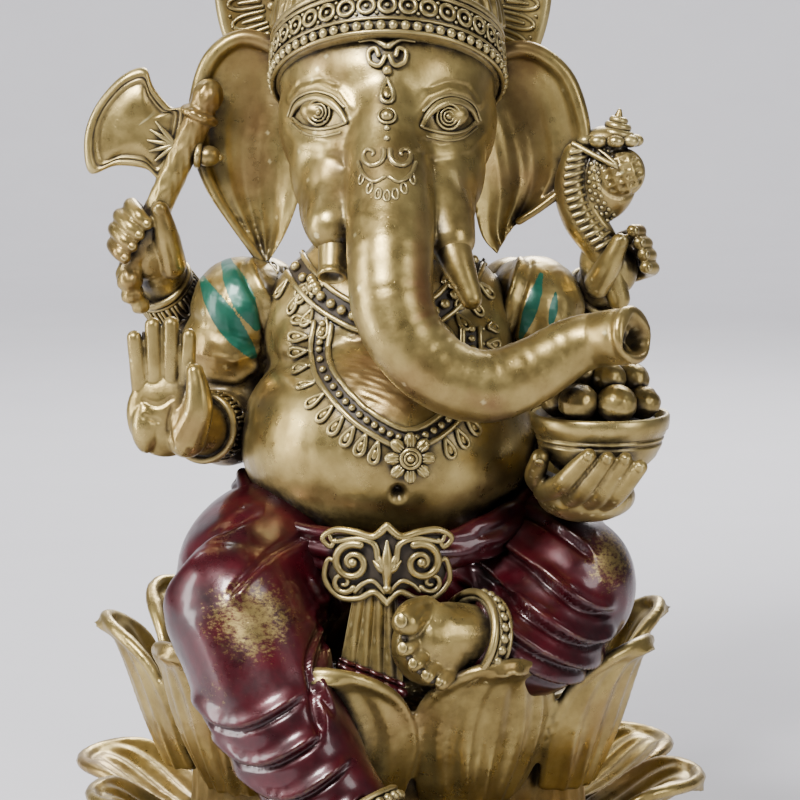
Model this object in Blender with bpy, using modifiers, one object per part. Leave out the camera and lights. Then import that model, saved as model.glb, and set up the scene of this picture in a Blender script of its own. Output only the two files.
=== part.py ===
"""A seated, four-armed Ganesha idol on a lotus throne, as the separate pieces it is bonded from.

Metres, +Z up. The idol faces -Y and its own right side is at -X. The origin is the centre of the
underside of the felt pad. Shapes are written in millimetres and scaled by MM when they are made.
"""

import math

import bmesh
import bpy
from mathutils import Matrix, Vector

MM = 0.001
GAP = 0.3  # bond line left between neighbouring pieces
WELD = 0.005  # points nearer than this are one point
VOXEL = 0.9  # grid size for the pieces that are blended from several round forms

# Lotus throne
PAD_THICKNESS = 1.2
SEAT_Z = 39.0  # top of the seat
SEAT_THICKNESS = 5.0
SEAT_RADIUS = 44.5
DRUM_RADIUS = 42.3
DRUM_WAIST_RADIUS = 39.5
DRUM_WALL = 4.5
PETALS = 10
PETAL_THICKNESS = 2.0
UPPER_PETAL_TURN = 24.0  # degrees that the first petal stands off the front
LOWER_PETAL_TURN = 8.0

# Figure: the centres that everything else is placed from
CHEST = Vector((0.0, -6.0, 107.0))
CHEST_SIZE = Vector((25.0, 18.0, 27.0))
BELLY = Vector((0.0, -13.0, 86.0))
BELLY_SIZE = Vector((29.0, 28.0, 22.5))
HIPS = Vector((0.0, -5.0, 60.0))
SHOULDER = Vector((27.0, 0.0, 110.0))  # the left one; the right one is its mirror image
HEAD = Vector((0.0, -11.0, 148.5))
HEAD_SIZE = Vector((21.5, 20.5, 20.0))
MUZZLE = Vector((0.0, -17.0, 135.0))
MUZZLE_SIZE = Vector((17.3, 15.5, 16.5))
BRIM = Vector((0.0, -9.5, 151.0))
BRIDGE = Vector((0.0, -27.0, 145.0))  # the brow and the root of the trunk
BRIDGE_SIZE = Vector((9.5, 8.0, 21.0))
CROWN_TILT = 28.0  # degrees that the crown's brim is raised at the front
HALO_CENTRE = Vector((-1.0, 16.5, 174.5))
HALO_RADIUS = 34.5
HALO_INNER_RADIUS = 23.5
HALO_THICKNESS = 3.2
HALO_BOSS = 9.0  # length of the boss that joins the halo to the crown

# Hand-held objects
AXE_FOOT = Vector((-50.8, -3.0, 117.0))
AXE_TOP = Vector((-36.5, -4.0, 151.0))
AXE_SHAFT_RADIUS = 2.7
AXE_BLADE_THICKNESS = 2.6
BOWL_CENTRE = Vector((39.9, -38.0, 82.6))
BOWL_RADIUS = 13.1
BOWL_HEIGHT = 12.6
SWEET_RADIUS = 3.3

# Finishes: colour, roughness, metallic
FINISHES = {
    "antique_gold": ((0.46, 0.36, 0.18), 0.38, 0.85),
    "dark_gold": ((0.26, 0.20, 0.10), 0.45, 0.80),
    "crimson": ((0.23, 0.02, 0.04), 0.22, 0.25),
    "felt": ((0.05, 0.04, 0.04), 0.95, 0.0),
}


# ---------------------------------------------------------------- scene and objects


def clear_scene():
    for obj in list(bpy.data.objects):
        bpy.data.objects.remove(obj)


def make_finishes():
    for name, (colour, roughness, metallic) in FINISHES.items():
        finish = bpy.data.materials.new(name)
        finish.use_nodes = True
        shader = finish.node_tree.nodes["Principled BSDF"]
        shader.inputs["Base Color"].default_value = (*colour, 1.0)
        shader.inputs["Roughness"].default_value = roughness
        shader.inputs["Metallic"].default_value = metallic


def link(name, data):
    obj = bpy.data.objects.new(name, data)
    PARTS.objects.link(obj)
    return obj


def apply(obj):
    """Bakes the object's modifiers and transform into a mesh of its own."""
    graph = bpy.context.evaluated_depsgraph_get()
    mesh = bpy.data.meshes.new_from_object(obj.evaluated_get(graph))
    mesh.transform(obj.matrix_world)
    obj.modifiers.clear()
    obj.data = mesh
    obj.matrix_world = Matrix.Identity(4)
    return obj


def mirror_image(point):
    return Vector((-point[0], point[1], point[2]))


# ---------------------------------------------------------------- basic solids


def ball(centre, radii, segments=20, rings=12, turn=(0.0, 0.0, 0.0)):
    """An ellipsoid. turn is in degrees about X, Y and Z."""
    mesh = bpy.data.meshes.new("ball")
    bm = bmesh.new()
    bmesh.ops.create_uvsphere(bm, u_segments=segments, v_segments=rings, radius=1.0)
    size = Matrix.Diagonal((*(Vector(radii) * MM), 1.0))
    spin = Matrix.Identity(4)
    for angle, axis in zip(turn, "XYZ"):
        spin = Matrix.Rotation(math.radians(angle), 4, axis) @ spin
    bm.transform(Matrix.Translation(Vector(centre) * MM) @ spin @ size)
    bm.to_mesh(mesh)
    bm.free()
    return link("ball", mesh)


def tube(points, radii, sides=3, steps=2, closed=False):
    """A round limb through the points, with a radius at each, made from a bevelled curve."""
    curve = bpy.data.curves.new("tube", "CURVE")
    curve.dimensions = "3D"
    curve.bevel_depth = MM
    curve.bevel_resolution = sides
    curve.resolution_u = steps
    curve.use_fill_caps = True
    spline = curve.splines.new("BEZIER")
    spline.bezier_points.add(len(points) - 1)
    spline.use_cyclic_u = closed
    for knot, point, radius in zip(spline.bezier_points, points, radii):
        knot.co = Vector(point) * MM
        knot.radius = radius
        knot.handle_left_type = knot.handle_right_type = "AUTO"
    guide = link("tube", curve)
    graph = bpy.context.evaluated_depsgraph_get()
    mesh = bpy.data.meshes.new_from_object(guide.evaluated_get(graph))
    bpy.data.objects.remove(guide)
    bm = bmesh.new()
    bm.from_mesh(mesh)
    bmesh.ops.remove_doubles(bm, verts=bm.verts, dist=1e-6)
    bmesh.ops.recalc_face_normals(bm, faces=bm.faces)
    bm.to_mesh(mesh)
    bm.free()
    return link("tube", mesh)


def turned(profile, steps=28):
    """A solid turned about Z from a closed outline of (radius, height) points, anticlockwise."""
    mesh = bpy.data.meshes.new("turned")
    bm = bmesh.new()
    knots = [bm.verts.new((radius * MM, 0.0, height * MM)) for radius, height in profile]
    pairs = list(zip(knots, knots[1:]))
    if profile[0][0] > 0.0:
        pairs.append((knots[-1], knots[0]))
    for pair in pairs:
        bm.edges.new(pair)
    bm.to_mesh(mesh)
    bm.free()
    obj = link("turned", mesh)
    screw = obj.modifiers.new("turn", "SCREW")
    screw.steps = screw.render_steps = steps
    screw.use_merge_vertices = True
    screw.merge_threshold = 1e-6
    screw.use_normal_calculate = True
    apply(obj)
    bm = bmesh.new()
    bm.from_mesh(obj.data)
    bmesh.ops.remove_doubles(bm, verts=bm.verts, dist=1e-6)
    bmesh.ops.recalc_face_normals(bm, faces=bm.faces)
    bm.to_mesh(obj.data)
    bm.free()
    return obj


def plate(outline, thickness, bevel=0.5):
    """A flat plate in the XZ plane, centred on y = 0, from a closed outline of (x, z) points."""
    curve = bpy.data.curves.new("plate", "CURVE")
    curve.dimensions = "2D"
    curve.fill_mode = "BOTH"
    curve.extrude = thickness / 2.0 * MM
    curve.resolution_u = 2
    spline = curve.splines.new("BEZIER")
    spline.bezier_points.add(len(outline) - 1)
    spline.use_cyclic_u = True
    for knot, (x, z) in zip(spline.bezier_points, outline):
        knot.co = (x * MM, z * MM, 0.0)
        knot.handle_left_type = knot.handle_right_type = "AUTO"
    guide = link("plate", curve)
    graph = bpy.context.evaluated_depsgraph_get()
    mesh = bpy.data.meshes.new_from_object(guide.evaluated_get(graph))
    bpy.data.objects.remove(guide)
    obj = link("plate", mesh)
    obj.rotation_euler.x = math.radians(90.0)
    bpy.context.view_layer.update()
    weld = obj.modifiers.new("weld", "WELD")
    weld.merge_threshold = 1e-6
    edge = obj.modifiers.new("edge", "BEVEL")
    edge.width = bevel * MM
    edge.limit_method = "ANGLE"
    edge.angle_limit = math.radians(60.0)
    return apply(obj)


def move(obj, offset=(0.0, 0.0, 0.0), turn=0.0, axis="Z"):
    """Turns the mesh about the origin by degrees, then shifts it by millimetres."""
    spin = Matrix.Rotation(math.radians(turn), 4, axis)
    obj.data.transform(Matrix.Translation(Vector(offset) * MM) @ spin)
    return obj


def stand_along(obj, foot, top):
    """Puts a solid that was made along +Z from the origin onto the line from foot to top."""
    aim = (Vector(top) - Vector(foot)).to_track_quat("Z", "Y").to_matrix().to_4x4()
    obj.data.transform(Matrix.Translation(Vector(foot) * MM) @ aim)
    return obj


# ---------------------------------------------------------------- joining and cutting


def boolean(obj, other, operation):
    change = obj.modifiers.new("change", "BOOLEAN")
    change.operation = operation
    change.solver = "EXACT"
    change.use_self = True
    change.object = other
    return apply(obj)


def blend(name, pieces, faces, voxel=VOXEL, smooth=4):
    """Joins overlapping round forms into one soft solid of about this many triangles."""
    bm = bmesh.new()
    for piece in pieces:
        bm.from_mesh(piece.data)
        bpy.data.objects.remove(piece)
    mesh = bpy.data.meshes.new(name)
    bm.to_mesh(mesh)
    bm.free()
    body = link(name, mesh)
    remesh = body.modifiers.new("skin", "REMESH")
    remesh.mode = "VOXEL"
    remesh.voxel_size = voxel * MM
    soften = body.modifiers.new("soften", "SMOOTH")
    soften.iterations = smooth
    apply(body)
    body.data.calc_loop_triangles()
    thin = body.modifiers.new("thin", "DECIMATE")
    thin.ratio = min(1.0, faces / len(body.data.loop_triangles))
    thin.use_collapse_triangulate = True
    return apply(body)


def grown(obj, by=GAP):
    """A cutter a little larger than the solid on every side."""
    bm = bmesh.new()
    bm.from_mesh(obj.data)
    bmesh.ops.triangulate(bm, faces=bm.faces)
    bm.normal_update()
    shifts = [(vert, vert.normal * by * MM) for vert in bm.verts]
    for vert, shift in shifts:
        vert.co += shift
    mesh = bpy.data.meshes.new("cutter")
    bm.to_mesh(mesh)
    bm.free()
    cutter = bpy.data.objects.new("cutter", mesh)
    CUTTERS.objects.link(cutter)
    cutter.hide_render = True
    cutter.display_type = "WIRE"
    return cutter


def keep_largest(obj):
    """Welds the cut's edges and drops its crumbs, so that the piece stays one closed body."""
    bm = bmesh.new()
    bm.from_mesh(obj.data)
    bmesh.ops.remove_doubles(bm, verts=bm.verts, dist=WELD * MM)
    bmesh.ops.dissolve_degenerate(bm, edges=bm.edges, dist=WELD * MM)
    flaps = [face for face in bm.faces if any(len(edge.link_faces) > 2 for edge in face.edges)
             and any(len(edge.link_faces) == 1 for edge in face.edges)]
    bmesh.ops.delete(bm, geom=flaps, context="FACES")
    gaps = [edge for edge in bm.edges if len(edge.link_faces) == 1]
    bmesh.ops.holes_fill(bm, edges=gaps, sides=0)
    left, groups = set(bm.verts), []
    while left:
        stack, group = [left.pop()], set()
        while stack:
            vert = stack.pop()
            group.add(vert)
            near = {edge.other_vert(vert) for edge in vert.link_edges} & left
            left -= near
            stack.extend(near)
        groups.append(group)
    groups.sort(key=len)
    crumbs = [vert for group in groups[:-1] for vert in group]
    bmesh.ops.delete(bm, geom=crumbs, context="VERTS")
    bm.to_mesh(obj.data)
    bm.free()


def boxes_meet(first, second):
    for axis in range(3):
        a = [vert.co[axis] for vert in first.data.vertices]
        b = [vert.co[axis] for vert in second.data.vertices]
        if min(a) > max(b) or min(b) > max(a):
            return False
    return True


def seat_pieces(order):
    """Cuts each piece back from those before it in the order, so that it beds against them."""
    cutters = [grown(piece) for piece in order]
    for index, piece in enumerate(order):
        for cutter in cutters[:index]:
            if boxes_meet(piece, cutter):
                boolean(piece, cutter, "DIFFERENCE")
                keep_largest(piece)
    for cutter in cutters:
        bpy.data.objects.remove(cutter)


# ---------------------------------------------------------------- lotus throne


def make_throne():
    pad_radius = DRUM_RADIUS - 2.0
    pad = turned([(0.0, 0.0), (pad_radius, 0.0), (pad_radius, PAD_THICKNESS - GAP),
                  (0.0, PAD_THICKNESS - GAP)])
    pad.name = "felt_pad"
    top = SEAT_Z - SEAT_THICKNESS - GAP
    waist_z = (PAD_THICKNESS + top) / 2.0
    bore = DRUM_WAIST_RADIUS - DRUM_WALL
    drum = turned([(0.0, top - DRUM_WALL), (bore, top - DRUM_WALL), (bore, PAD_THICKNESS),
                   (DRUM_RADIUS, PAD_THICKNESS), (DRUM_RADIUS, PAD_THICKNESS + 4.0),
                   (DRUM_WAIST_RADIUS, waist_z), (DRUM_RADIUS, top - 4.0),
                   (DRUM_RADIUS, top), (0.0, top)])
    drum.name = "lotus_drum"
    low = SEAT_Z - SEAT_THICKNESS
    seat = turned([(0.0, low), (SEAT_RADIUS - 4.0, low), (SEAT_RADIUS, SEAT_Z - 2.0),
                   (SEAT_RADIUS - 1.5, SEAT_Z), (0.0, SEAT_Z)])
    seat.name = "lotus_seat"
    return [pad, drum, seat]


def petal_ring(name, foot_radius, foot_z, length, lean, curl, cup, first):
    """A ring of petals cast in one piece: a turned wall whose top edge is scalloped into petals.

    lean tips the petals outwards in degrees at the foot, curl bends their ends over further, cup
    swells each one outwards along its middle, and first is the direction of the first petal.
    """
    rows, columns = 4, 5 * PETALS
    wall = bpy.data.meshes.new(name)
    bm = bmesh.new()
    knots = [bm.verts.new((1.0, 0.0, row / rows)) for row in range(rows + 1)]
    for pair in zip(knots, knots[1:]):
        bm.edges.new(pair)
    bm.to_mesh(wall)
    bm.free()
    obj = link(name, wall)
    screw = obj.modifiers.new("turn", "SCREW")
    screw.steps = screw.render_steps = columns
    screw.use_merge_vertices = True
    screw.merge_threshold = 1e-6
    apply(obj)
    for vert in obj.data.vertices:
        around = math.atan2(vert.co.y, vert.co.x)
        step = (around - math.radians(first - 90.0)) * PETALS / (2.0 * math.pi)
        u = 2.0 * (step - round(step))
        v = vert.co.z * (0.62 + 0.38 * math.sqrt(max(1.0 - abs(u) ** 2.4, 0.0)))
        angle = math.radians(lean + curl * v ** 3)
        out = foot_radius + length * v * math.sin(angle)
        out += cup * (math.cos(math.pi * u / 2.0) - 0.6) * (0.3 + 0.7 * v)
        height = foot_z + length * v * math.cos(angle)
        vert.co = Vector((out * math.cos(around), out * math.sin(around), height)) * MM
    solid = obj.modifiers.new("wall", "SOLIDIFY")
    solid.thickness = PETAL_THICKNESS * MM
    solid.offset = 0.0
    return apply(obj)


def make_petals():
    foot = DRUM_RADIUS + PETAL_THICKNESS
    return [petal_ring("upper_petal_ring", foot, 20.0, 31.5, 12.0, 12.0, 3.0, UPPER_PETAL_TURN),
            petal_ring("lower_petal_ring", foot, 5.0, 23.0, 46.0, 16.0, 3.0, LOWER_PETAL_TURN)]


# ---------------------------------------------------------------- body


def make_torso():
    shoulders = [ball(mirror_image(SHOULDER), (9.0, 9.0, 10.0)), ball(SHOULDER, (9.0, 9.0, 10.0))]
    chest = ball(CHEST, CHEST_SIZE)
    belly = ball(BELLY, BELLY_SIZE, 24, 14)
    neck = ball((0.0, -3.0, 126.0), (14.0, 13.0, 12.0))
    return blend("torso", [chest, belly, neck] + shoulders, 380)


def make_legs():
    hips = blend("hips", [ball(HIPS, (31.0, 26.0, 20.0), 24, 14),
                          ball(HIPS + Vector((0, 4, 8)), (29.0, 21.0, 14.0))], 260)
    right_knee = Vector((-27.5, -42.0, 57.0))
    right_leg = blend("right_leg", [
        tube([(-17, -4, 61), (-24, -24, 62), right_knee], [17, 16.5, 13.5]),
        ball(right_knee, (13.5, 13.0, 14.0)),
        tube([right_knee, (-21, -49, 42), (-13, -55, 30), (-5, -58, 22)], [13.5, 12.5, 10, 7.5]),
    ], 300)
    left_knee = Vector((34.5, -27.0, 60.0))
    left_leg = blend("left_leg", [
        tube([(17, -4, 60), (28, -17, 62), left_knee], [17, 15.5, 13.5]),
        ball(left_knee, (13.5, 13.0, 14.0)),
        tube([left_knee, (28, -37, 51), (18, -42, 51)], [13.0, 10.5, 8.5]),
    ], 300)
    right_foot = blend("right_foot", [
        tube([(-5, -58, 22), (-1, -61, 17), (3, -66, 14)], [5.5, 5.0, 4.2]),
        ball((3, -66, 13.5), (5.5, 6.5, 3.6)),
    ], 150, voxel=0.6)
    left_foot = blend("left_foot", [
        tube([(18, -42, 52), (12, -46, 54), (8, -48, 53.5)], [6.5, 6.8, 6.5]),
        ball((8.0, -48.5, 53.0), (7.8, 5.2, 8.4), turn=(0, 25, 0)),
    ], 160, voxel=0.6)
    return [hips, right_leg, left_leg, right_foot, left_foot]


def make_arms():
    """Four arms from shoulder to wrist: the front pair in front of the rear pair."""
    specs = {
        "front_right_arm": ([(-28, -2, 109), (-31.5, -1, 95), (-31.5, -5, 88), (-35.5, -17, 89)],
                            [9.0, 8.6, 8.4, 5.6]),
        "front_left_arm": ([(28, -2, 109), (31.5, 1, 95), (32, -2, 86), (34.5, -19, 80)],
                           [9.0, 8.4, 8.0, 5.6]),
        "rear_right_arm": ([(-25, 4, 112), (-34, 11, 105), (-39, 11, 105), (-44, 6, 113)],
                           [8.5, 7.5, 7.0, 4.9]),
        "rear_left_arm": ([(25, 4, 112), (32, 11, 104), (36, 11, 104), (41, 6, 111.5)],
                          [8.5, 7.5, 7.0, 4.9]),
    }
    return [blend(name, [tube(path, radii)], 170, smooth=2)
            for name, (path, radii) in specs.items()]


def make_shawls():
    """The drape over each shoulder, which hides where the two arms leave the body."""
    drapes = []
    for name, side in (("right_shawl", -1.0), ("left_shawl", 1.0)):
        top = ball((side * 28.8, -1.2, 110.5), (10.4, 11.6, 10.5))
        fall = ball((side * 31.5, -1.5, 103.0), (9.8, 10.6, 10.0))
        drapes.append(blend(name, [top, fall], 200))
    return drapes


def fingers(knuckles, tips, radius):
    """Fingers side by side: one tube from each knuckle to each tip, with a round end."""
    made = []
    for knuckle, tip in zip(knuckles, tips):
        middle = (Vector(knuckle) + Vector(tip)) / 2.0
        made.append(tube([knuckle, middle, tip], [radius, radius, radius * 0.85], 3, 2))
        made.append(ball(tip, (radius, radius, radius), 10, 6))
    return made


def fist(name, centre, side):
    """A hand closed round an upright object: palm behind, fingers folded over the front."""
    palm = ball(centre + Vector((side * 1.0, 1.5, 0.0)), (5.2, 5.0, 7.6))
    knuckles = [centre + Vector((side * 5.0, 1.0, z)) for z in (4.8, 1.6, -1.6, -4.6)]
    tips = [centre + Vector((side * 1.2, -5.2, z)) for z in (4.4, 1.3, -1.7, -4.4)]
    heel = tube([centre + Vector((-side * 0.5, 2.0, -3.0)), centre + Vector((-side * 3.5, 3.5, -8.5))],
                [5.0, 4.6])
    return blend(name, [palm, heel] + fingers(knuckles, tips, 1.9), 280, voxel=0.5)


def make_hands():
    palm_centre = Vector((-42.0, -26.5, 93.5))
    palm = ball(palm_centre, (7.0, 3.6, 8.6))
    wrist = tube([(-35.5, -17.5, 89.0), (-40.0, -24.0, 90.5)], [5.0, 5.4])
    roots = [palm_centre + Vector((x, -0.5, z))
             for x, z in ((-5.0, 5.5), (-1.8, 7.0), (1.5, 7.2), (4.6, 6.0))]
    ends = [palm_centre + Vector((x, -2.0, z))
            for x, z in ((-6.3, 13.0), (-3.6, 16.2), (-0.2, 17.4), (3.6, 16.4))]
    thumb = [tube([palm_centre + Vector((4.0, -1.5, -3.5)), palm_centre + Vector((6.6, -3.0, 8.5))],
                  [3.4, 1.7], 3, 2)]
    open_hand = blend("front_right_hand", [palm, wrist] + fingers(roots, ends, 1.75) + thumb,
                      340, voxel=0.5)
    cup_centre = Vector((39.0, -33.5, 79.0))
    cup = ball(cup_centre, (9.0, 8.5, 4.6))
    heel = tube([(34.5, -20.0, 80.0), (37.0, -29.0, 79.0)], [5.0, 5.6])
    roots = [cup_centre + Vector((x, -6.0, z))
             for x, z in ((-3.0, -1.6), (0.6, -2.2), (4.2, -2.0), (7.6, -1.2))]
    ends = [cup_centre + Vector((x, -13.0, z))
            for x, z in ((1.0, 3.2), (4.4, 2.8), (7.8, 3.2), (10.6, 2.4))]
    cupped_hand = blend("front_left_hand", [cup, heel] + fingers(roots, ends, 1.6),
                        340, voxel=0.5)
    return [open_hand, cupped_hand,
            fist("rear_right_hand", Vector((-49.4, -2.6, 121.6)), -1.0),
            fist("rear_left_hand", Vector((46.6, -1.0, 119.0)), 1.0)]


def cuff(name, foot, top, radius, width, wall=1.5):
    """A bracelet or anklet: a turned band with a raised rim at each end."""
    low, high = -width / 2.0, width / 2.0
    rim = wall + 0.7
    outline = [(radius, low), (radius + rim, low), (radius + rim, low + 1.0),
               (radius + wall, low + 1.5), (radius + wall, high - 1.5),
               (radius + rim, high - 1.0), (radius + rim, high), (radius, high)]
    band = turned(outline, 12)
    centre = (Vector(foot) + Vector(top)) / 2.0
    stand_along(band, centre, centre + (Vector(top) - Vector(foot)))
    band.name = name
    return band


def make_cuffs():
    return [
        cuff("front_right_bracelet", (-33.5, -12.0, 88.6), (-36.2, -19.0, 89.3), 5.5, 5.5),
        cuff("front_left_bracelet", (33.6, -13.0, 82.2), (35.0, -20.5, 79.8), 5.5, 5.5),
        cuff("rear_right_bracelet", (-42.3, 8.0, 110.0), (-45.6, 3.8, 115.4), 5.0, 6.0),
        cuff("rear_left_bracelet", (39.2, 8.4, 108.2), (42.4, 4.2, 113.6), 5.0, 6.0),
        cuff("right_anklet", (-5.9, -58.2, 23.6), (-3.9, -59.5, 20.6), 7.8, 4.0),
        cuff("left_anklet", (18.0, -42.3, 51.6), (14.6, -44.6, 53.0), 8.6, 4.5),
    ]


# ---------------------------------------------------------------- head


def make_head():
    skull = ball(HEAD, HEAD_SIZE, 24, 14)
    muzzle = ball(MUZZLE, MUZZLE_SIZE, 24, 14)
    cheeks = [ball((side * 10.5, -25.0, 133.0), (6.0, 8.0, 10.0)) for side in (-1.0, 1.0)]
    bridge = ball(BRIDGE, BRIDGE_SIZE)
    return blend("head", [skull, muzzle, bridge] + cheeks, 440)


def make_trunk():
    path = [(0.0, -25.0, 143.5), (0.2, -33.5, 139.5), (0.6, -40, 132.2),
            (0.6, -45.5, 124.3), (1.1, -49, 116.3), (4.4, -51, 109.2), (10.6, -52, 103.8), (18.3, -52, 101.8), (26.1, -51, 104.3),
            (33.5, -50, 108.6), (38.9, -50.5, 110.5), (43.2, -52, 110.4)]
    radii = [7.0, 8.4, 8.6, 8.5, 7.8, 7.3, 7.0, 6.8, 6.3, 5.4, 5.0, 5.0]
    trunk = tube(path, radii, 4, 2)
    trunk.name = "trunk"
    return trunk


def make_tusks():
    whole = blend("left_tusk", [tube([(10.0, -30.0, 134.0), (12.0, -37.0, 126.0),
                                      (15.4, -42.0, 117.2)], [3.6, 3.7, 2.2]),
                                ball((15.4, -42.0, 117.2), (2.3, 2.3, 2.3), 12, 8)],
                  110, voxel=0.5, smooth=2)
    broken = blend("right_tusk", [tube([(-9.6, -31.0, 132.0), (-9.9, -37.5, 123.6)], [3.7, 3.6])],
                   90, voxel=0.5, smooth=1)
    return [broken, whole]


def ear(name, outline, side):
    """A thin hanging ear, swept back from the head, with its outer edge rolled forward."""
    thickness, edge_bevel = 2.4, 0.7
    root, width = 18.0, 20.0
    hollow, forward, set_in, sweep = 4.0, 2.0, 6.0, 0.074
    obj = plate(outline, thickness, edge_bevel)
    for vert in obj.data.vertices:
        out = side * vert.co.x / MM
        reach = (out - root) / width
        dish = hollow * math.sin(max(0.0, min(reach, 1.2)) * math.pi)
        vert.co.y += (dish - forward * reach + sweep * abs(out) - set_in) * MM
    obj.name = name
    return obj


def make_ears():
    right = [(-17, 157), (-21, 161.5), (-28.5, 164), (-34.5, 160), (-37.5, 152), (-37.5, 143),
             (-35, 135), (-30.5, 127.5), (-25, 119.5), (-22.5, 124), (-19.5, 135), (-17, 146)]
    left = [(17, 156), (20, 160), (27.5, 161.5), (34.5, 157), (38, 148.5), (38.6, 141),
            (36, 135.5), (30.5, 131.5), (25, 128), (22, 121), (19.5, 126), (17.5, 138), (16.5, 147)]
    return [ear("right_ear", right, -1.0), ear("left_ear", left, 1.0)]


def on_brim(obj):
    """Sets a solid made about the origin on the brow, raised at the front."""
    return move(obj, BRIM, -CROWN_TILT, "X")


def make_crown():
    low, high = 0.0, 11.0
    band = turned([(0.0, low), (23.0, low), (23.6, low + 2.0), (22.9, low + 3.2),
                   (23.0, high - 2.6), (23.8, high - 1.4), (23.4, high), (0.0, high)], 20)
    on_brim(band).name = "crown_band"
    dome = turned([(0.0, 2.0), (20.0, 2.0), (22.4, 9.0), (20.6, 16.5), (17.2, 19.0),
                   (18.0, 21.5), (14.6, 28.0), (11.4, 30.0), (12.0, 32.0), (8.6, 37.5),
                   (6.0, 39.0), (5.2, 42.0), (0.0, 44.6)], 16)
    dome.data.transform(Matrix.Diagonal((1.0, 0.92, 1.0, 1.0)))
    move(dome, (0.0, -8.0, 157.0), -8.0, "X").name = "crown"
    jewel = plate([(-5.0, 162.6), (0.0, 161.6), (5.0, 162.6), (3.4, 158.6), (1.5, 156.4),
                   (2.6, 151.5), (1.6, 146.5), (0.0, 145.0), (-1.6, 146.5), (-2.6, 151.5),
                   (-1.5, 156.4), (-3.4, 158.6)], 1.6, 0.3)
    jewel.name = "forehead_jewel"
    for vert in jewel.data.vertices:
        rise = min(1.0, (vert.co.z / MM - BRIDGE.z) / BRIDGE_SIZE.z)
        vert.co.y += (BRIDGE.y - BRIDGE_SIZE.y * math.sqrt(1.0 - rise * rise) - 0.9) * MM
    return [band, dome, jewel]


def make_halo():
    half, web = HALO_THICKNESS / 2.0, HALO_THICKNESS / 3.0
    ring = turned([(0.0, -web), (HALO_INNER_RADIUS, -web), (HALO_INNER_RADIUS + 1.0, -half),
                   (HALO_RADIUS - 1.0, -half), (HALO_RADIUS, 0.0), (HALO_RADIUS - 1.0, half),
                   (HALO_INNER_RADIUS + 1.0, half), (HALO_INNER_RADIUS, web),
                   (HALO_BOSS, web), (HALO_BOSS, HALO_BOSS), (0.0, HALO_BOSS)], 28)
    move(ring, HALO_CENTRE, 90.0, "X").name = "halo"
    return ring


# ---------------------------------------------------------------- jewellery and cloth


def front_of_body(x, z):
    """The y of the front of the chest and belly at this x and z."""
    found = []
    for centre, size in ((CHEST, CHEST_SIZE), (BELLY, BELLY_SIZE)):
        inside = 1.0 - ((x - centre.x) / size.x) ** 2 - ((z - centre.z) / size.z) ** 2
        if inside > 0.0:
            found.append(centre.y - size.y * math.sqrt(inside))
    return min(found) if found else CHEST.y


def necklace(name, left_top, bottom, right_top, radius, count=9):
    """A strand that hangs in a U over the body between three (x, z) points."""
    path = []
    for index in range(count):
        t = index / (count - 1)
        s = 2.0 * t - 1.0
        end = left_top if s < 0.0 else right_top
        x = bottom[0] + (end[0] - bottom[0]) * math.sin(abs(s) * math.pi / 2.0)
        z = end[1] + (bottom[1] - end[1]) * math.cos(abs(s) * math.pi / 2.0) ** 0.8
        path.append((x, front_of_body(x, z) - radius * 0.55, z))
    strand = tube(path, [radius] * count, 2, 2)
    strand.name = name
    return strand


def make_jewellery():
    collar = necklace("neck_collar", (-20.5, 124.0), (0.0, 103.5), (20.0, 123.0), 2.4)
    strand = necklace("long_necklace", (-15.0, 110.0), (3.0, 90.5), (20.0, 107.0), 2.1)
    x, z = 4.2, 88.6
    disc = turned([(0.0, -1.4), (4.6, -1.4), (4.9, 0.0), (3.6, 1.3), (1.6, 1.3), (1.2, 2.6), (0.0, 2.9)], 16)
    move(disc, (x, front_of_body(x, z) - 0.7, z), 90.0, "X").name = "flower_pendant"
    return [collar, strand, disc]


def make_waist():
    """The sash round the hips, its buckle, and the pleated end that hangs from it."""
    count, radius = 16, 3.0
    path = []
    for index in range(count):
        turn = 2.0 * math.pi * index / count
        lift = 0.5 - 0.5 * math.cos(turn)
        path.append((28.0 * math.sin(turn), -12.0 - 28.0 * math.cos(turn), 68.0 + 9.0 * lift))
    sash = tube(path, [radius] * count, 2, 2, closed=True)
    sash.name = "waist_sash"
    buckle = plate([(-12.0, 70.5), (-8.5, 72.4), (0.0, 74.0), (8.5, 72.4), (12.0, 70.5), (9.6, 64.6),
                    (5.0, 61.4), (0.0, 60.2), (-5.0, 61.4), (-9.6, 64.6)], 3.4, 0.6)
    move(buckle, (0.0, -45.0, 0.0)).name = "belt_buckle"
    cloth = plate([(-8.0, 61.5), (2.5, 61.5), (3.0, 53.0), (3.2, 44.0), (-3.8, 43.5), (-6.0, 52.0)], 5.0, 1.0)
    move(cloth, (0.0, -43.5, 0.0)).name = "front_sash"
    return [sash, buckle, cloth]


# ---------------------------------------------------------------- what the hands hold


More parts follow.
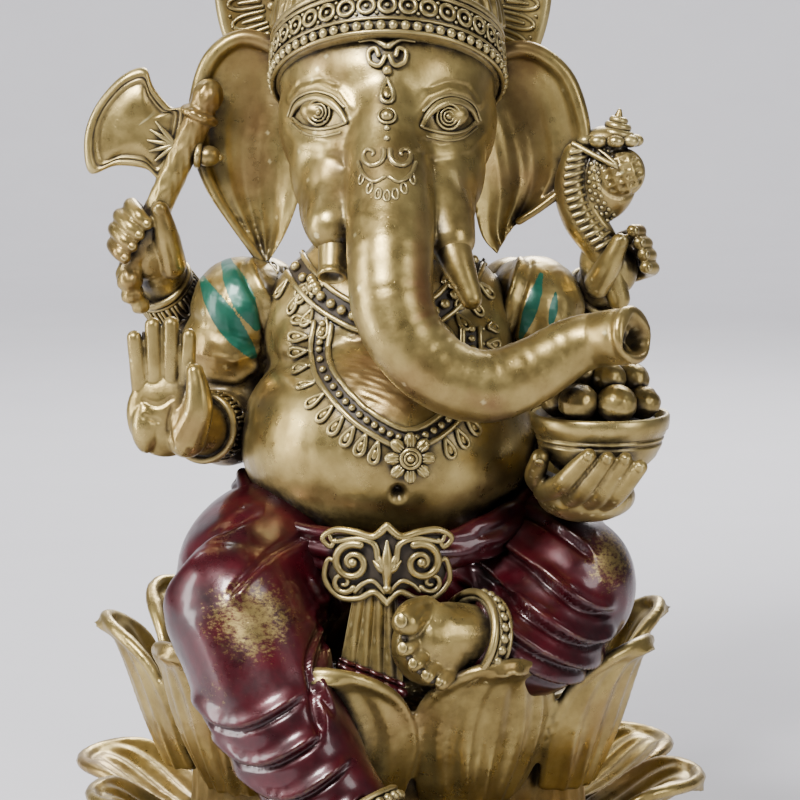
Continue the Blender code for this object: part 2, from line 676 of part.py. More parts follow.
def make_axe():
    length = (AXE_TOP - AXE_FOOT).length
    r = AXE_SHAFT_RADIUS
    shaft = turned([(0.0, 0.0), (r * 0.9, 0.0), (r, 2.0), (r, length - 1.5), (r * 1.35, length - 1.0),
                    (r * 1.35, length + 0.4), (r * 1.1, length + 1.0), (r * 1.15, length + 3.0),
                    (r * 0.6, length + 5.0), (0.0, length + 5.4)], 12)
    stand_along(shaft, AXE_FOOT, AXE_TOP).name = "axe_handle"
    blade = plate([(-39.5, 148.6), (-43.0, 149.6), (-46.3, 153.0), (-48.2, 157.4), (-53.6, 154.6),
                   (-57.6, 149.5), (-59.2, 143.6), (-58.0, 138.2), (-52.5, 139.4), (-47.0, 138.8),
                   (-43.6, 136.4)], AXE_BLADE_THICKNESS, 0.6)
    move(blade, (0.0, -3.7, 0.0)).name = "axe_blade"
    stud = turned([(0.0, -3.2), (2.4, -3.2), (2.6, -2.0), (2.2, -1.2), (1.9, 0.6), (0.0, 2.0)], 16)
    stand_along(stud, (-38.0, -3.8, 142.2), (-36.0, -3.8, 141.4))
    stud.name = "axe_stud"
    return [shaft, blade, stud]


def make_conch():
    body = ball((42.8, -0.5, 135.5), (7.4, 5.6, 9.4), turn=(0, 8, 0))
    stem = tube([(40.0, -0.5, 132.0), (41.0, -1.0, 124.0), (43.6, -1.5, 118.5)], [5.4, 4.0, 3.0])
    crest = ball((41.5, -0.5, 142.8), (5.6, 4.6, 3.4), turn=(0, 10, 0))
    spire = turned([(0.0, 0.0), (3.4, 0.0), (2.8, 1.8), (2.2, 2.4), (1.6, 4.0), (0.0, 5.6)], 14)
    stand_along(spire, (44.2, -0.5, 143.6), (45.6, -0.5, 148.0))
    return blend("conch", [body, stem, crest, spire], 320, voxel=0.5, smooth=2)


def make_bowl():
    r, h, wall = BOWL_RADIUS, BOWL_HEIGHT, 1.3
    outer = [(0.0, 0.0), (r * 0.42, 0.0), (r * 0.72, h * 0.16), (r * 0.92, h * 0.45),
             (r * 0.97, h * 0.66), (r * 1.0, h * 0.72), (r * 1.0, h)]
    inner = [(r - wall, h), (r - wall, h * 0.7), (r * 0.66, h * 0.3), (0.0, wall + 0.8)]
    bowl = turned(outer + inner, 20)
    move(bowl, BOWL_CENTRE, -2.0, "X").name = "bowl"
    return bowl


def make_sweets():
    """The heap of round sweets, cast as one piece on a core that fills the bowl."""
    rim = BOWL_CENTRE + Vector((0.0, 0.0, BOWL_HEIGHT))
    heap = [ball(rim + Vector((0.0, 0.0, 0.4)), (10.2, 10.2, 5.5), 16, 8)]
    for count, ring, z in ((9, 8.0, 1.9), (6, 4.6, 6.4), (1, 0.0, 9.4)):
        for index in range(count):
            turn = 2.0 * math.pi * (index + 0.3) / count
            spot = rim + Vector((ring * math.sin(turn), -ring * math.cos(turn), z))
            heap.append(ball(spot, (SWEET_RADIUS,) * 3, 12, 8))
    return blend("sweets", heap, 560, voxel=0.5, smooth=1)


# ---------------------------------------------------------------- assembly

CLOTH = {"hips", "right_leg", "left_leg", "waist_sash"}
DARK = {"lotus_seat", "lotus_drum"}


def paint(pieces):
    for piece in pieces:
        finish = "antique_gold"
        if piece.name in CLOTH:
            finish = "crimson"
        elif piece.name in DARK:
            finish = "dark_gold"
        elif piece.name == "felt_pad":
            finish = "felt"
        piece.data.materials.clear()
        piece.data.materials.append(bpy.data.materials[finish])


def main():
    make_finishes()
    pad, drum, seat = make_throne()
    head = make_head()
    trunk = make_trunk()
    tusks = make_tusks()
    axe = make_axe()
    conch = make_conch()
    bowl = make_bowl()
    order = [drum, seat, head, trunk] + tusks + axe + [conch, bowl, make_sweets()]
    band, dome, jewel = make_crown()
    order += [band, dome, jewel] + make_ears() + [make_halo()]
    order += make_waist() + make_jewellery() + make_cuffs()
    order += [make_torso()] + make_shawls() + make_arms() + make_hands()
    order += make_legs() + make_petals()
    seat_pieces(order)
    paint([pad] + order)


clear_scene()
PARTS = bpy.data.collections.new("ganesha_idol")
CUTTERS = bpy.data.collections.new("cutters")
bpy.context.scene.collection.children.link(PARTS)
bpy.context.scene.collection.children.link(CUTTERS)
main()
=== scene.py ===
import math

import bmesh
import bpy
import numpy as np
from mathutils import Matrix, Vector
from mathutils.bvhtree import BVHTree


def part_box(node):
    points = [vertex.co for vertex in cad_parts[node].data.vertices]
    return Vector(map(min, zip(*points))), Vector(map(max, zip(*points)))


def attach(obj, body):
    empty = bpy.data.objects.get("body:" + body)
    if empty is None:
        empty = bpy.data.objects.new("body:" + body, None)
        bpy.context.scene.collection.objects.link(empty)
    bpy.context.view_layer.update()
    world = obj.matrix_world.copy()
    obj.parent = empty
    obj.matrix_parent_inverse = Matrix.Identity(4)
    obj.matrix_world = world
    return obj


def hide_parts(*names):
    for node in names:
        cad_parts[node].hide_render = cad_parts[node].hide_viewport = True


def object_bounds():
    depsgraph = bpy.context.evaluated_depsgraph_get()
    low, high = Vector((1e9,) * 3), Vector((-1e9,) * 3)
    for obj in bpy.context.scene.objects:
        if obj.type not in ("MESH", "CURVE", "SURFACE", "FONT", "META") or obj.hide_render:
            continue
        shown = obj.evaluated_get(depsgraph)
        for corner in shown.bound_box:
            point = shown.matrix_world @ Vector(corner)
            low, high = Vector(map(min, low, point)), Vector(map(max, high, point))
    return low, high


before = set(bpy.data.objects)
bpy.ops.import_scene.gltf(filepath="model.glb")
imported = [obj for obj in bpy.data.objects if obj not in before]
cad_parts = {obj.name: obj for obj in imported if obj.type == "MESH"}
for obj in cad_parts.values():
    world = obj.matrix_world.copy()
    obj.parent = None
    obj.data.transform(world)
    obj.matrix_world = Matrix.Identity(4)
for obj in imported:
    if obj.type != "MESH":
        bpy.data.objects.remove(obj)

# ---------------------------------------------------------------- units
# Lengths below are millimetres of the idol at its design height, and the height of the parts in model.glb
# says how big that is.
CAD_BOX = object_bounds()
DESIGN_HEIGHT = 209.0
MM = (CAD_BOX[1].z - CAD_BOX[0].z) / DESIGN_HEIGHT


def box(node):
    """A node's low and high corners, in millimetres."""
    low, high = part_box(node)
    return np.array(low) / MM, np.array(high) / MM


def round_box(node):
    """The foot, top and radius of a node that is round about the vertical, in millimetres."""
    low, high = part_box(node)
    return low.z / MM, high.z / MM, (high.x - low.x) / 2 / MM


def centre(node):
    """The middle of a node's box, in millimetres."""
    low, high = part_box(node)
    return np.array((low + high) / 2) / MM


# ---------------------------------------------------------------- points and paths
def unit(vectors):
    """Vectors scaled to length 1."""
    vectors = np.asarray(vectors, float)
    return vectors / np.maximum(np.linalg.norm(vectors, axis=-1, keepdims=True), 1e-12)


def step(values, low, high):
    """0 below low, 1 above high, and smooth between."""
    t = np.clip((np.asarray(values, float) - low) / (high - low), 0, 1)
    return t * t * (3 - 2 * t)


def spline(points, steps=8, closed=False):
    """A Catmull-Rom curve through the points, of any dimension."""
    points = np.asarray(points, float)
    if closed:
        points = np.vstack([points[-1:], points, points[:2]])
    else:
        points = np.vstack([2 * points[0] - points[1], points, 2 * points[-1] - points[-2]])
    t = np.arange(steps)[:, None] / steps
    out = []
    for a, b, c, d in zip(points, points[1:], points[2:], points[3:]):
        out.append(0.5 * (2 * b + (c - a) * t + (2 * a - 5 * b + 4 * c - d) * t ** 2
                          + (3 * b - a - 3 * c + d) * t ** 3))
    if not closed:
        out.append(points[-2][None])
    return np.vstack(out)


def evenly(path, count, closed=False):
    """count points spread evenly along a path."""
    path = np.asarray(path, float)
    if closed:
        path = np.vstack([path, path[:1]])
    run = np.concatenate([[0], np.cumsum(np.linalg.norm(np.diff(path, axis=0), axis=1))])
    at = np.linspace(0, run[-1], count + 1)[:-1] if closed else np.linspace(0, run[-1], count)
    return np.column_stack([np.interp(at, run, path[:, k]) for k in range(path.shape[1])])


def turn_x(points, degrees, about=(0, 0, 0)):
    """Points turned about a line along X."""
    a = math.radians(degrees)
    matrix = np.array([[1, 0, 0], [0, math.cos(a), -math.sin(a)], [0, math.sin(a), math.cos(a)]])
    return (np.asarray(points, float) - about) @ matrix.T + about


def side_frame(direction):
    """Two unit vectors at right angles to a direction."""
    direction = unit(direction)
    helper = np.array([0, 0, 1.0]) if abs(direction[2]) < 0.9 else np.array([0, 1.0, 0])
    first = unit(np.cross(helper, direction))
    return first, np.cross(direction, first)


# ---------------------------------------------------------------- shells: (points, faces)
def grid(points, close_rows=False, close_columns=False, caps=False):
    """A sheet of quads over an array of points; caps closes the first and last rows."""
    rows, columns = points.shape[:2]
    a, b = np.meshgrid(np.arange(rows if close_rows else rows - 1),
                       np.arange(columns if close_columns else columns - 1), indexing="ij")
    a2, b2 = (a + 1) % rows, (b + 1) % columns
    quads = np.stack([a * columns + b, a * columns + b2, a2 * columns + b2, a2 * columns + b], -1)
    faces = quads.reshape(-1, 4).tolist()
    if caps:
        faces.append(list(range(columns)))
        faces.append(list(range((rows - 1) * columns, rows * columns)))
    return points.reshape(-1, 3), faces


def ball(middle, radii, rings=12, around=18, tilt=0.0):
    """An ellipsoid; tilt turns it about the Y axis, in degrees."""
    v = np.linspace(0.04, math.pi - 0.04, rings)[:, None]
    u = np.linspace(0, 2 * math.pi, around, endpoint=False)[None]
    shape = np.stack([np.sin(v) * np.cos(u), np.sin(v) * np.sin(u), np.cos(v) + 0 * u], -1)
    shape = shape * np.broadcast_to(np.asarray(radii, float), (3,))
    a = math.radians(tilt)
    matrix = np.array([[math.cos(a), 0, math.sin(a)], [0, 1, 0], [-math.sin(a), 0, math.cos(a)]])
    return grid(shape @ matrix.T + np.asarray(middle, float), close_columns=True, caps=True)


def tube(points, radii, around=16, steps=6, closed=False, smooth=True):
    """A round bar along a path, with round ends; radii is one number or one for each point."""
    points = np.asarray(points, float)
    radii = np.broadcast_to(np.asarray(radii, float), (len(points),))
    path = np.column_stack([points, radii])
    if smooth:
        path = spline(path, steps, closed)
    middle, radius = path[:, :3], path[:, 3]
    if closed:
        tangent = unit(np.roll(middle, -1, 0) - np.roll(middle, 1, 0))
    else:
        tangent = unit(np.gradient(middle, axis=0))
        bend = np.radians([88, 65, 42, 20])
        first = [middle[0] - tangent[0] * radius[0] * math.sin(a) for a in bend]
        last = [middle[-1] + tangent[-1] * radius[-1] * math.sin(a) for a in bend[::-1]]
        middle = np.vstack([first, middle, last])
        ends = np.cos(bend)
        radius = np.concatenate([radius[0] * ends, radius, radius[-1] * ends[::-1]])
        tangent = np.vstack([np.repeat(tangent[:1], 4, 0), tangent, np.repeat(tangent[-1:], 4, 0)])
    side = side_frame(tangent[0])[0]
    sides = []
    for direction in tangent:
        side = unit(side - direction * (side @ direction))
        sides.append(side)
    sides = np.array(sides)
    other = np.cross(tangent, sides)
    u = np.linspace(0, 2 * math.pi, around, endpoint=False)
    rings = middle[:, None] + radius[:, None, None] * (
        sides[:, None] * np.cos(u)[None, :, None] + other[:, None] * np.sin(u)[None, :, None])
    return grid(rings, close_rows=closed, close_columns=True, caps=not closed)


def wire(path, thick, around=8, closed=False):
    """A bar straight from point to point, for paths that are already fine."""
    return tube(path, thick, around, closed=closed, smooth=False)


def ring(middle, axis, radius, thick, around=24, section=8):
    """A torus about an axis."""
    a, b = side_frame(axis)
    u = np.linspace(0, 2 * math.pi, around, endpoint=False)[:, None]
    circle = np.asarray(middle, float) + radius * (a * np.cos(u) + b * np.sin(u))
    return tube(circle, thick, section, closed=True, smooth=False)


def turned(profile, around=96, middle=(0, 0, 0)):
    """A closed turned solid about Z; the profile is (radius, height) from bottom to top."""
    profile = np.asarray(profile, float)
    u = np.linspace(0, 2 * math.pi, around, endpoint=False)[None]
    r, z = profile[:, :1], profile[:, 1:]
    points = np.stack([r * np.cos(u), r * np.sin(u), z + 0 * u], -1) + np.asarray(middle, float)
    return grid(points, close_columns=True, caps=True)


def slab(front, back):
    """A closed solid between two sheets of the same size."""
    loop = np.concatenate([front, back[:, ::-1]], axis=1)
    return grid(loop, close_columns=True, caps=True)


def join(shells):
    """Several shells as one list of points and faces."""
    points, faces, start = [], [], 0
    for shell_points, shell_faces in shells:
        points.append(shell_points)
        faces.extend([[i + start for i in face] for face in shell_faces])
        start += len(shell_points)
    return np.vstack(points), faces


# ---------------------------------------------------------------- objects
def put(name, data):
    """A new object in the scene."""
    item = bpy.data.objects.new(name, data)
    bpy.context.scene.collection.objects.link(item)
    return item


def mesh_of(name, points, faces):
    """A smooth-shaded mesh from points in millimetres."""
    mesh = bpy.data.meshes.new(name)
    mesh.from_pydata((points * MM).tolist(), [], faces)
    mesh.shade_smooth()
    return mesh


def make(name, shells, material, nodes=()):
    """One piece from closed shells, riding on the idol's only body."""
    mesh = mesh_of(name, *join(shells))
    bm = bmesh.new()
    bm.from_mesh(mesh)
    bmesh.ops.recalc_face_normals(bm, faces=bm.faces)
    bm.to_mesh(mesh)
    bm.free()
    mesh.shade_smooth()
    mesh.materials.append(material)
    piece = put(name, mesh)
    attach(piece, "root")
    if nodes:
        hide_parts(*nodes)
    return piece


def settle(piece):
    """Turns the piece's modifiers into its mesh."""
    bpy.context.view_layer.update()
    shaped = bpy.data.meshes.new_from_object(piece.evaluated_get(bpy.context.evaluated_depsgraph_get()))
    piece.modifiers.clear()
    piece.data = shaped
    shaped.shade_smooth()


def relax(piece, passes, group=""):
    """Adds smoothing, limited to a vertex group where one is named."""
    smooth = piece.modifiers.new("relax", "SMOOTH")
    smooth.vertex_group = group
    smooth.factor = 0.5
    smooth.iterations = passes


def clay(name, shells, voxel, passes, material, nodes=()):
    """Closed shells melted into one skin of even quads and smoothed."""
    piece = make(name, shells, material, nodes)
    melt = piece.modifiers.new("melt", "REMESH")
    melt.mode = "VOXEL"
    melt.voxel_size = voxel * MM
    relax(piece, passes)
    settle(piece)
    return piece


def read(piece):
    """Vertex places in millimetres, and their normals."""
    mesh = piece.data
    places = np.zeros(len(mesh.vertices) * 3, np.float32)
    mesh.vertices.foreach_get("co", places)
    normals = np.zeros(len(mesh.vertices) * 3, np.float32)
    mesh.vertex_normals.foreach_get("vector", normals)
    return places.reshape(-1, 3).astype(float) / MM, normals.reshape(-1, 3).astype(float)


def write(piece, places):
    """Moves the vertices to these places, in millimetres."""
    piece.data.vertices.foreach_set("co", (places * MM).astype(np.float32).ravel())
    piece.data.update()


def sculpt(piece, push):
    """Moves each vertex along its normal by push(places, normals) millimetres."""
    places, normals = read(piece)
    write(piece, places + normals * push(places, normals)[:, None])


def dent(piece, direction, depth):
    """Moves each vertex along one direction by depth(places, normals) millimetres."""
    places, normals = read(piece)
    write(piece, places + np.asarray(direction, float) * depth(places, normals)[:, None])


def soften(piece, where, passes):
    """Smooths a piece where where(places, normals) is high."""
    places, normals = read(piece)
    group = piece.vertex_groups.new(name="soft")
    weights = np.clip(where(places, normals), 0, 1)
    for level in np.linspace(0.1, 1.0, 10):
        members = np.nonzero(np.abs(weights - level) <= 0.05)[0]
        group.add(members.tolist(), float(level), "REPLACE")
    relax(piece, passes, group.name)
    settle(piece)
    piece.vertex_groups.clear()


def mark(piece, name, weight):
    """Stores weight(places, normals) as a vertex attribute that a material reads."""
    places, normals = read(piece)
    layer = piece.data.attributes.new(name, "FLOAT", "POINT")
    layer.data.foreach_set("value", weight(places, normals).astype(np.float32))


def skin(*pieces):
    """A tree over the surfaces of some pieces, in millimetres."""
    points, faces = [], []
    for piece in pieces:
        start = len(points)
        points.extend((v.co / MM)[:] for v in piece.data.vertices)
        faces.extend([start + i for i in f.vertices] for f in piece.data.polygons)
    return BVHTree.FromPolygons(points, faces)


def on_front(tree, x, z, lift=0.0):
    """The point that the front of a surface shows at (x, z), raised by lift, and the normal there."""
    hit, normal, _, _ = tree.ray_cast(Vector((x, -200, z)), Vector((0, 1, 0)))
    if hit is None:
        hit, normal, _, _ = tree.find_nearest(Vector((x, -30, z)))
    normal = unit(np.array(normal))
    if normal[1] > 0:
        normal = -normal
    return np.array(hit) + normal * lift, normal


def drape(tree, path, lift=0.0):
    """Each (x, z) of a path laid on the front of a surface."""
    return np.array([on_front(tree, x, z, lift)[0] for x, z in path])


# ---------------------------------------------------------------- strokes in the front view
def stroke(places, path, closed=False):
    """Distance to a path of (x, z) seen from the front, its signed side and the share along it."""
    path = np.asarray(path, float)
    if closed:
        path = np.vstack([path, path[:1]])
    flat = places[:, [0, 2]]
    best = np.full(len(flat), 1e9)
    side = np.zeros(len(flat))
    share = np.zeros(len(flat))
    near = np.all((flat > path.min(0) - 12) & (flat < path.max(0) + 12), axis=1)
    idx = np.nonzero(near)[0]
    pts = flat[idx]
    count = len(path) - 1
    b, s, w = best[idx], side[idx], share[idx]
    for k in range(count):
        a, d = path[k], path[k + 1] - path[k]
        t = np.clip((pts - a) @ d / (d @ d + 1e-12), 0, 1)
        gap = pts - a - t[:, None] * d
        distance = np.linalg.norm(gap, axis=1)
        closer = distance < b
        b[closer] = distance[closer]
        cross = d[0] * gap[:, 1] - d[1] * gap[:, 0]
        s[closer] = np.sign(cross[closer])
        w[closer] = (k + t[closer]) / count
    best[idx], side[idx], share[idx] = b, s, w
    return best, side, share


def seen(normals, facing):
    """1 where a surface faces the front more than facing, with a soft edge."""
    return step(-normals[:, 1], facing - 0.15, facing + 0.15)


def ridge(places, normals, path, width, height, facing=0.15, fade=0.12):
    """A soft ridge (or a groove, when height is negative) along a path on the front."""
    distance, _, share = stroke(places, path)
    ends = step(share, 0, fade) * step(1 - share, 0, fade) if fade else 1.0
    return height * np.exp(-(distance / width) ** 2) * ends * seen(normals, facing)


def fold(places, normals, path, width, height, facing=0.15, fade=0.15):
    """A cloth fold: a soft rise on the left of the path that drops sharply on its right."""
    distance, side, share = stroke(places, path)
    rise = np.where(side > 0, np.exp(-(distance / width) ** 2), np.exp(-(distance / (0.28 * width)) ** 2))
    dip = np.where(side < 0, np.exp(-((distance - 0.55 * width) / (0.35 * width)) ** 2), 0.0)
    ends = step(share, 0, fade) * step(1 - share, 0, fade)
    return height * (rise - 0.7 * dip) * ends * seen(normals, facing)


def lumps(places, size, seed=0):
    """A slow, even wobble between -1 and 1, for hand-worked surfaces."""
    rng = np.random.default_rng(seed)
    out = np.zeros(len(places))
    for _ in range(6):
        direction = unit(rng.normal(size=3)) * (2 * math.pi / size) * rng.uniform(0.7, 1.4)
        out += np.sin(places @ direction + rng.uniform(0, 2 * math.pi))
    return out / 6


# ---------------------------------------------------------------- finishes
def plug(tree, socket, value):
    """Links another socket to this one, or sets its plain value."""
    if isinstance(value, bpy.types.NodeSocket):
        tree.links.new(value, socket)
    else:
        socket.default_value = value


def add(tree, kind, inputs=None, **settings):
    """One node with its settings, and its inputs set or linked."""
    node = tree.nodes.new(kind)
    for key, value in settings.items():
        setattr(node, key, value)
    for key, value in (inputs or {}).items():
        plug(tree, node.inputs[key], value)
    return node


def mix(tree, factor, first, second):
    """Two colours mixed: the Mix node keeps its factor and its two colours at these places."""
    return add(tree, "ShaderNodeMix", {0: factor, 6: first, 7: second}, data_type="RGBA").outputs[2]


def span(tree, value, low, high, bottom=0.0, top=1.0):
    """A value's range low..high mapped to bottom..top."""
    node = add(tree, "ShaderNodeMapRange", {"Value": value, "From Min": low, "From Max": high,
                                            "To Min": bottom, "To Max": top})
    return node.outputs["Result"]


def noise(tree, size, detail=4.0, roughness=0.6):
    """Noise whose features are about size millimetres."""
    place = add(tree, "ShaderNodeTexCoord").outputs["Object"]
    node = add(tree, "ShaderNodeTexNoise", {"Vector": place, "Scale": 1 / (size * MM), "Detail": detail,
                                            "Roughness": roughness})
    return node.outputs["Fac"]


def combine(tree, first, second, operation="MULTIPLY"):
    """Two values put together by one sum."""
    return add(tree, "ShaderNodeMath", {0: first, 1: second}, operation=operation).outputs[0]


def attribute(tree, name):
    """A weight stored on the mesh by mark."""
    return add(tree, "ShaderNodeAttribute", attribute_name=name).outputs["Fac"]


def bumps(tree, height, strength, depth):
    """A normal roughened by a height; depth is in millimetres."""
    return add(tree, "ShaderNodeBump", {"Height": height, "Strength": strength,
                                        "Distance": depth * MM}).outputs["Normal"]


def surface(tree, colour, metallic, roughness, **inputs):
    """A principled surface; other inputs are given with _ for a space."""
    sockets = {"Base Color": colour, "Metallic": metallic, "Roughness": roughness}
    sockets.update({key.replace("_", " "): value for key, value in inputs.items()})
    return add(tree, "ShaderNodeBsdfPrincipled", sockets).outputs[0]


def layered(tree, share, under, over):
    """One surface over another where share is high."""
    return add(tree, "ShaderNodeMixShader", {0: share, 1: under, 2: over}).outputs[0]


def recess_wash_and_shade(tree, reach, low=0.35, high=0.8):
    """0 in a narrow recess and 1 in the open, from ambient occlusion: where the dark wash and painted
    shade go.
    """
    node = add(tree, "ShaderNodeAmbientOcclusion", {"Distance": reach * MM}, samples=8)
    return span(tree, node.outputs["AO"], low, high)


def edge_rub_and_highlight(tree, low=0.53, high=0.64):
    """1 on sharp outer edges, from pointiness: where rubbed wear and a painted highlight go."""
    return span(tree, add(tree, "ShaderNodeNewGeometry").outputs["Pointiness"], low, high)


# Pale gold for sharp edges: rubbed wear, and a painted highlight.
RUBBED_GOLD_AND_HIGHLIGHT = (0.80, 0.68, 0.34, 1)
BROWN_STAIN = (0.21, 0.105, 0.045, 1)
CASTING_PIT = (0.12, 0.08, 0.04, 1)
# Near-black for the recesses: the dark wash, and painted shade.
BLACK_WASH_AND_SHADE = (0.018, 0.012, 0.007, 1)


def brass_shader(tree, light=(0.43, 0.325, 0.118, 1), deep=(0.22, 0.155, 0.05, 1), shine=0.30):
    """Antique brass paint: dark wash and painted shade in recesses, rubbed edges with a painted
    highlight, brown stains and small casting pits.
    """
    tone = mix(tree, span(tree, noise(tree, 9, 6), 0.35, 0.68), deep, light)
    stain = span(tree, noise(tree, 24, 3, 0.5), 0.55, 0.75, 0.0, 0.5)
    tone = mix(tree, stain, tone, BROWN_STAIN)
    speck = span(tree, noise(tree, 0.5, 2), 0.70, 0.76, 0.0, 0.4)
    tone = mix(tree, speck, tone, CASTING_PIT)
    # Sharp edges lightened to pale gold: rubbed wear with a painted highlight.
    tone = mix(tree, combine(tree, edge_rub_and_highlight(tree), 0.65), tone, RUBBED_GOLD_AND_HIGHLIGHT)
    # Painted shade with the dark wash: recesses darkened towards black by ambient occlusion; the same
    # mask lowers the metallic value.
    wash = recess_wash_and_shade(tree, 4.6, 0.47, 0.95)
    ragged = span(tree, noise(tree, 1.6, 4), 0.3, 0.7, -0.18, 0.18)
    wash_and_shade_edge = span(tree, combine(tree, wash, ragged, "ADD"), 0.0, 0.9)
    tone = mix(tree, wash_and_shade_edge, BLACK_WASH_AND_SHADE, tone)
    grain = noise(tree, 0.5, 4, 0.6)
    pits = span(tree, noise(tree, 0.8, 1), 0.24, 0.3)
    rough_cast = bumps(tree, combine(tree, grain, combine(tree, pits, 0.8), "ADD"), 0.25, 0.1)
    roughness = span(tree, noise(tree, 3.5, 5), 0.3, 0.75, shine - 0.07, shine + 0.15)
    metal = span(tree, wash, 0, 1, 0.15, 0.86)
    return surface(tree, tone, metal, roughness, Normal=rough_cast)


def finish_material(name, shader_of):
    """A material whose surface comes from shader_of(tree)."""
    material = bpy.data.materials.new(name)
    material.use_nodes = True
    tree = material.node_tree
    tree.nodes.clear()
    out = add(tree, "ShaderNodeOutputMaterial")
    tree.links.new(shader_of(tree), out.inputs["Surface"])
    return material


def lacquer_shader(tree):
    """Glossy crimson lacquer over brass, with gold dry brushing where the rub attribute is high."""
    dark_red, red = (0.015, 0.0006, 0.0022, 1), (0.068, 0.0018, 0.0065, 1)
    tone = mix(tree, span(tree, noise(tree, 7, 5), 0.3, 0.7), dark_red, red)
    # Painted shade with the dark wash: the red darkened towards black in recesses by ambient occlusion.
    wash = recess_wash_and_shade(tree, 4.0, 0.4, 0.95)
    tone = mix(tree, wash, (0.02, 0.002, 0.003, 1), tone)
    roughness = span(tree, noise(tree, 5, 4), 0.3, 0.7, 0.24, 0.42)
    lacquer = surface(tree, tone, 0.35, roughness, Coat_Weight=0.42, Coat_Roughness=0.12,
                      Normal=bumps(tree, noise(tree, 1.4, 4), 0.25, 0.12))
    rub = attribute(tree, "rub")
    place = add(tree, "ShaderNodeTexCoord").outputs["Object"]
    drawn = add(tree, "ShaderNodeMapping", {"Vector": place, "Scale": (1.0, 1.0, 1.6),
                                            "Rotation": (0, 0.35, 0)}).outputs[0]
    scratch = add(tree, "ShaderNodeTexNoise", {"Vector": drawn, "Scale": 1 / (1.1 * MM),
                                               "Detail": 8.0, "Roughness": 0.75}).outputs["Fac"]
    worn = span(tree, combine(tree, combine(tree, rub, 0.46), scratch, "ADD"), 0.80, 0.97, 0.0, 0.85)
    edge = combine(tree, edge_rub_and_highlight(tree, 0.535, 0.62), span(tree, scratch, 0.45, 0.6))
    worn = combine(tree, worn, combine(tree, edge, 0.35), "MAXIMUM")
    return layered(tree, worn, lacquer, brass_shader(tree))


def striped_shader(tree):
    """Brass cloth with brushed green paint where the paint attribute is high."""
    paint = attribute(tree, "paint")
    edge = combine(tree, paint, span(tree, noise(tree, 2.0, 5, 0.7), 0.2, 0.8, -0.3, 0.3), "ADD")
    tone = mix(tree, noise(tree, 4, 5), (0.001, 0.032, 0.019, 1), (0.004, 0.115, 0.068, 1))
    green = surface(tree, tone, 0.3, 0.38, Coat_Weight=0.25, Coat_Roughness=0.2)
    return layered(tree, span(tree, edge, 0.42, 0.58), brass_shader(tree), green)


def face_shader(tree):
    """Brass with a reddish brown layer where the rust attribute is high, as along the trunk."""
    rust = attribute(tree, "rust")
    ragged = span(tree, noise(tree, 7, 4), 0.25, 0.75, -0.2, 0.2)
    patchy = span(tree, combine(tree, rust, ragged, "ADD"), 0.3, 1.0)
    brown = surface(tree, (0.13, 0.05, 0.02, 1), 0.55, 0.38)
    return layered(tree, combine(tree, patchy, 0.7), brass_shader(tree), brown)


def painted_shade_shader(tree):
    """Flat black-brown painted shade, for the sheets and bars put in deep recesses and gaps."""
    tone = mix(tree, noise(tree, 1.2), (0.014, 0.010, 0.006, 1), (0.05, 0.034, 0.018, 1))
    return surface(tree, tone, 0.2, 0.6)


def felt_shader(tree):
    """Matt black felt."""
    tone = mix(tree, noise(tree, 1.5, 6, 0.8), (0.012, 0.012, 0.014, 1), (0.04, 0.04, 0.045, 1))
    return surface(tree, tone, 0.0, 0.95, Sheen_Weight=0.3,
                   Normal=bumps(tree, noise(tree, 0.4, 6, 0.8), 0.8, 0.3))


def darker_brass_shader(tree):
    """The brass, darker and rougher."""
    return brass_shader(tree, (0.34, 0.26, 0.12, 1), (0.17, 0.12, 0.05, 1), 0.42)


def paper_shader(tree):
    """Pale matt paper for the floor."""
    tone = mix(tree, noise(tree, 40), (0.50, 0.49, 0.52, 1), (0.54, 0.53, 0.56, 1))
    return surface(tree, tone, 0.0, 0.9)


BRASS = finish_material("aged_brass", brass_shader)
DARKER_BRASS = finish_material("dark_brass", darker_brass_shader)
LACQUER = finish_material("crimson_lacquer", lacquer_shader)
STRIPED = finish_material("brass_with_green_strokes", striped_shader)
FACE = finish_material("brass_with_rust", face_shader)
PAINTED_SHADE = finish_material("painted_shade_dark", painted_shade_shader)
FELT_CLOTH = finish_material("black_felt", felt_shader)


# ---------------------------------------------------------------- head
TRUNK = [(0, -17.5, 164), (0, -23, 156.5), (0, -27.6, 149.5), (0.2, -32, 142.5), (0.4, -37, 135.8),
         (0.6, -41.6, 129.6), (0.6, -45.5, 124.3), (1.1, -49, 116.3), (4.4, -51, 109.2),
         (10.6, -52, 103.8), (18.3, -52, 101.8), (26.1, -51, 104.3), (33.5, -50, 108.6),
         (38.2, -50.8, 110.2), (42.3, -54.0, 111.2)]
TRUNK_RADII = [6.2, 6.6, 7.0, 7.6, 8.0, 8.2, 8.0, 7.7, 7.2, 6.9, 6.7, 6.2, 5.5, 5.1, 5.2]
TRUNK_MOUTH = unit(np.array(TRUNK[-1]) - TRUNK[-2])
CREASE_GAP = 3.4
CREASE_HEIGHT = 0.035
EYE_SCALE = 0.82
# Each eye's middle, and 1 or -1 for the side on which the trunk lies.
EYES = {"right": (-12.9, 150.4, 1), "left": (11.6, 149.7, -1)}
# Folds round an eye, measured from its middle: path, width and height.
EYE_FOLDS = [([(-8.2, 1.2), (-5, 5.0), (0, 6.3), (5, 4.6), (8.4, -0.5)], 1.1, 0.55),
             ([(-7.4, 2.4), (-4.4, 6.6), (0.4, 8.0), (5.4, 6.2)], 0.45, -0.4),
             ([(-8.6, -1.2), (-4, -5.2), (1.5, -6.2), (7.6, -4.4)], 0.55, -0.38),
             ([(-9.4, -3.2), (-4.5, -7.6), (2, -8.6), (8.4, -7.4)], 0.8, 0.3)]
# Each tusk: its path and the radii along it.
TUSKS = {"right": ([(-8.4, -27, 135), (-9.6, -31, 132), (-10.2, -37.4, 121.8)], [3.5, 3.5, 2.6]),
         "left": ([(9, -26, 138), (10, -30, 134), (12, -37, 126), (15.6, -41.8, 116.8)],
                  [3.4, 3.6, 3.6, 2.1])}


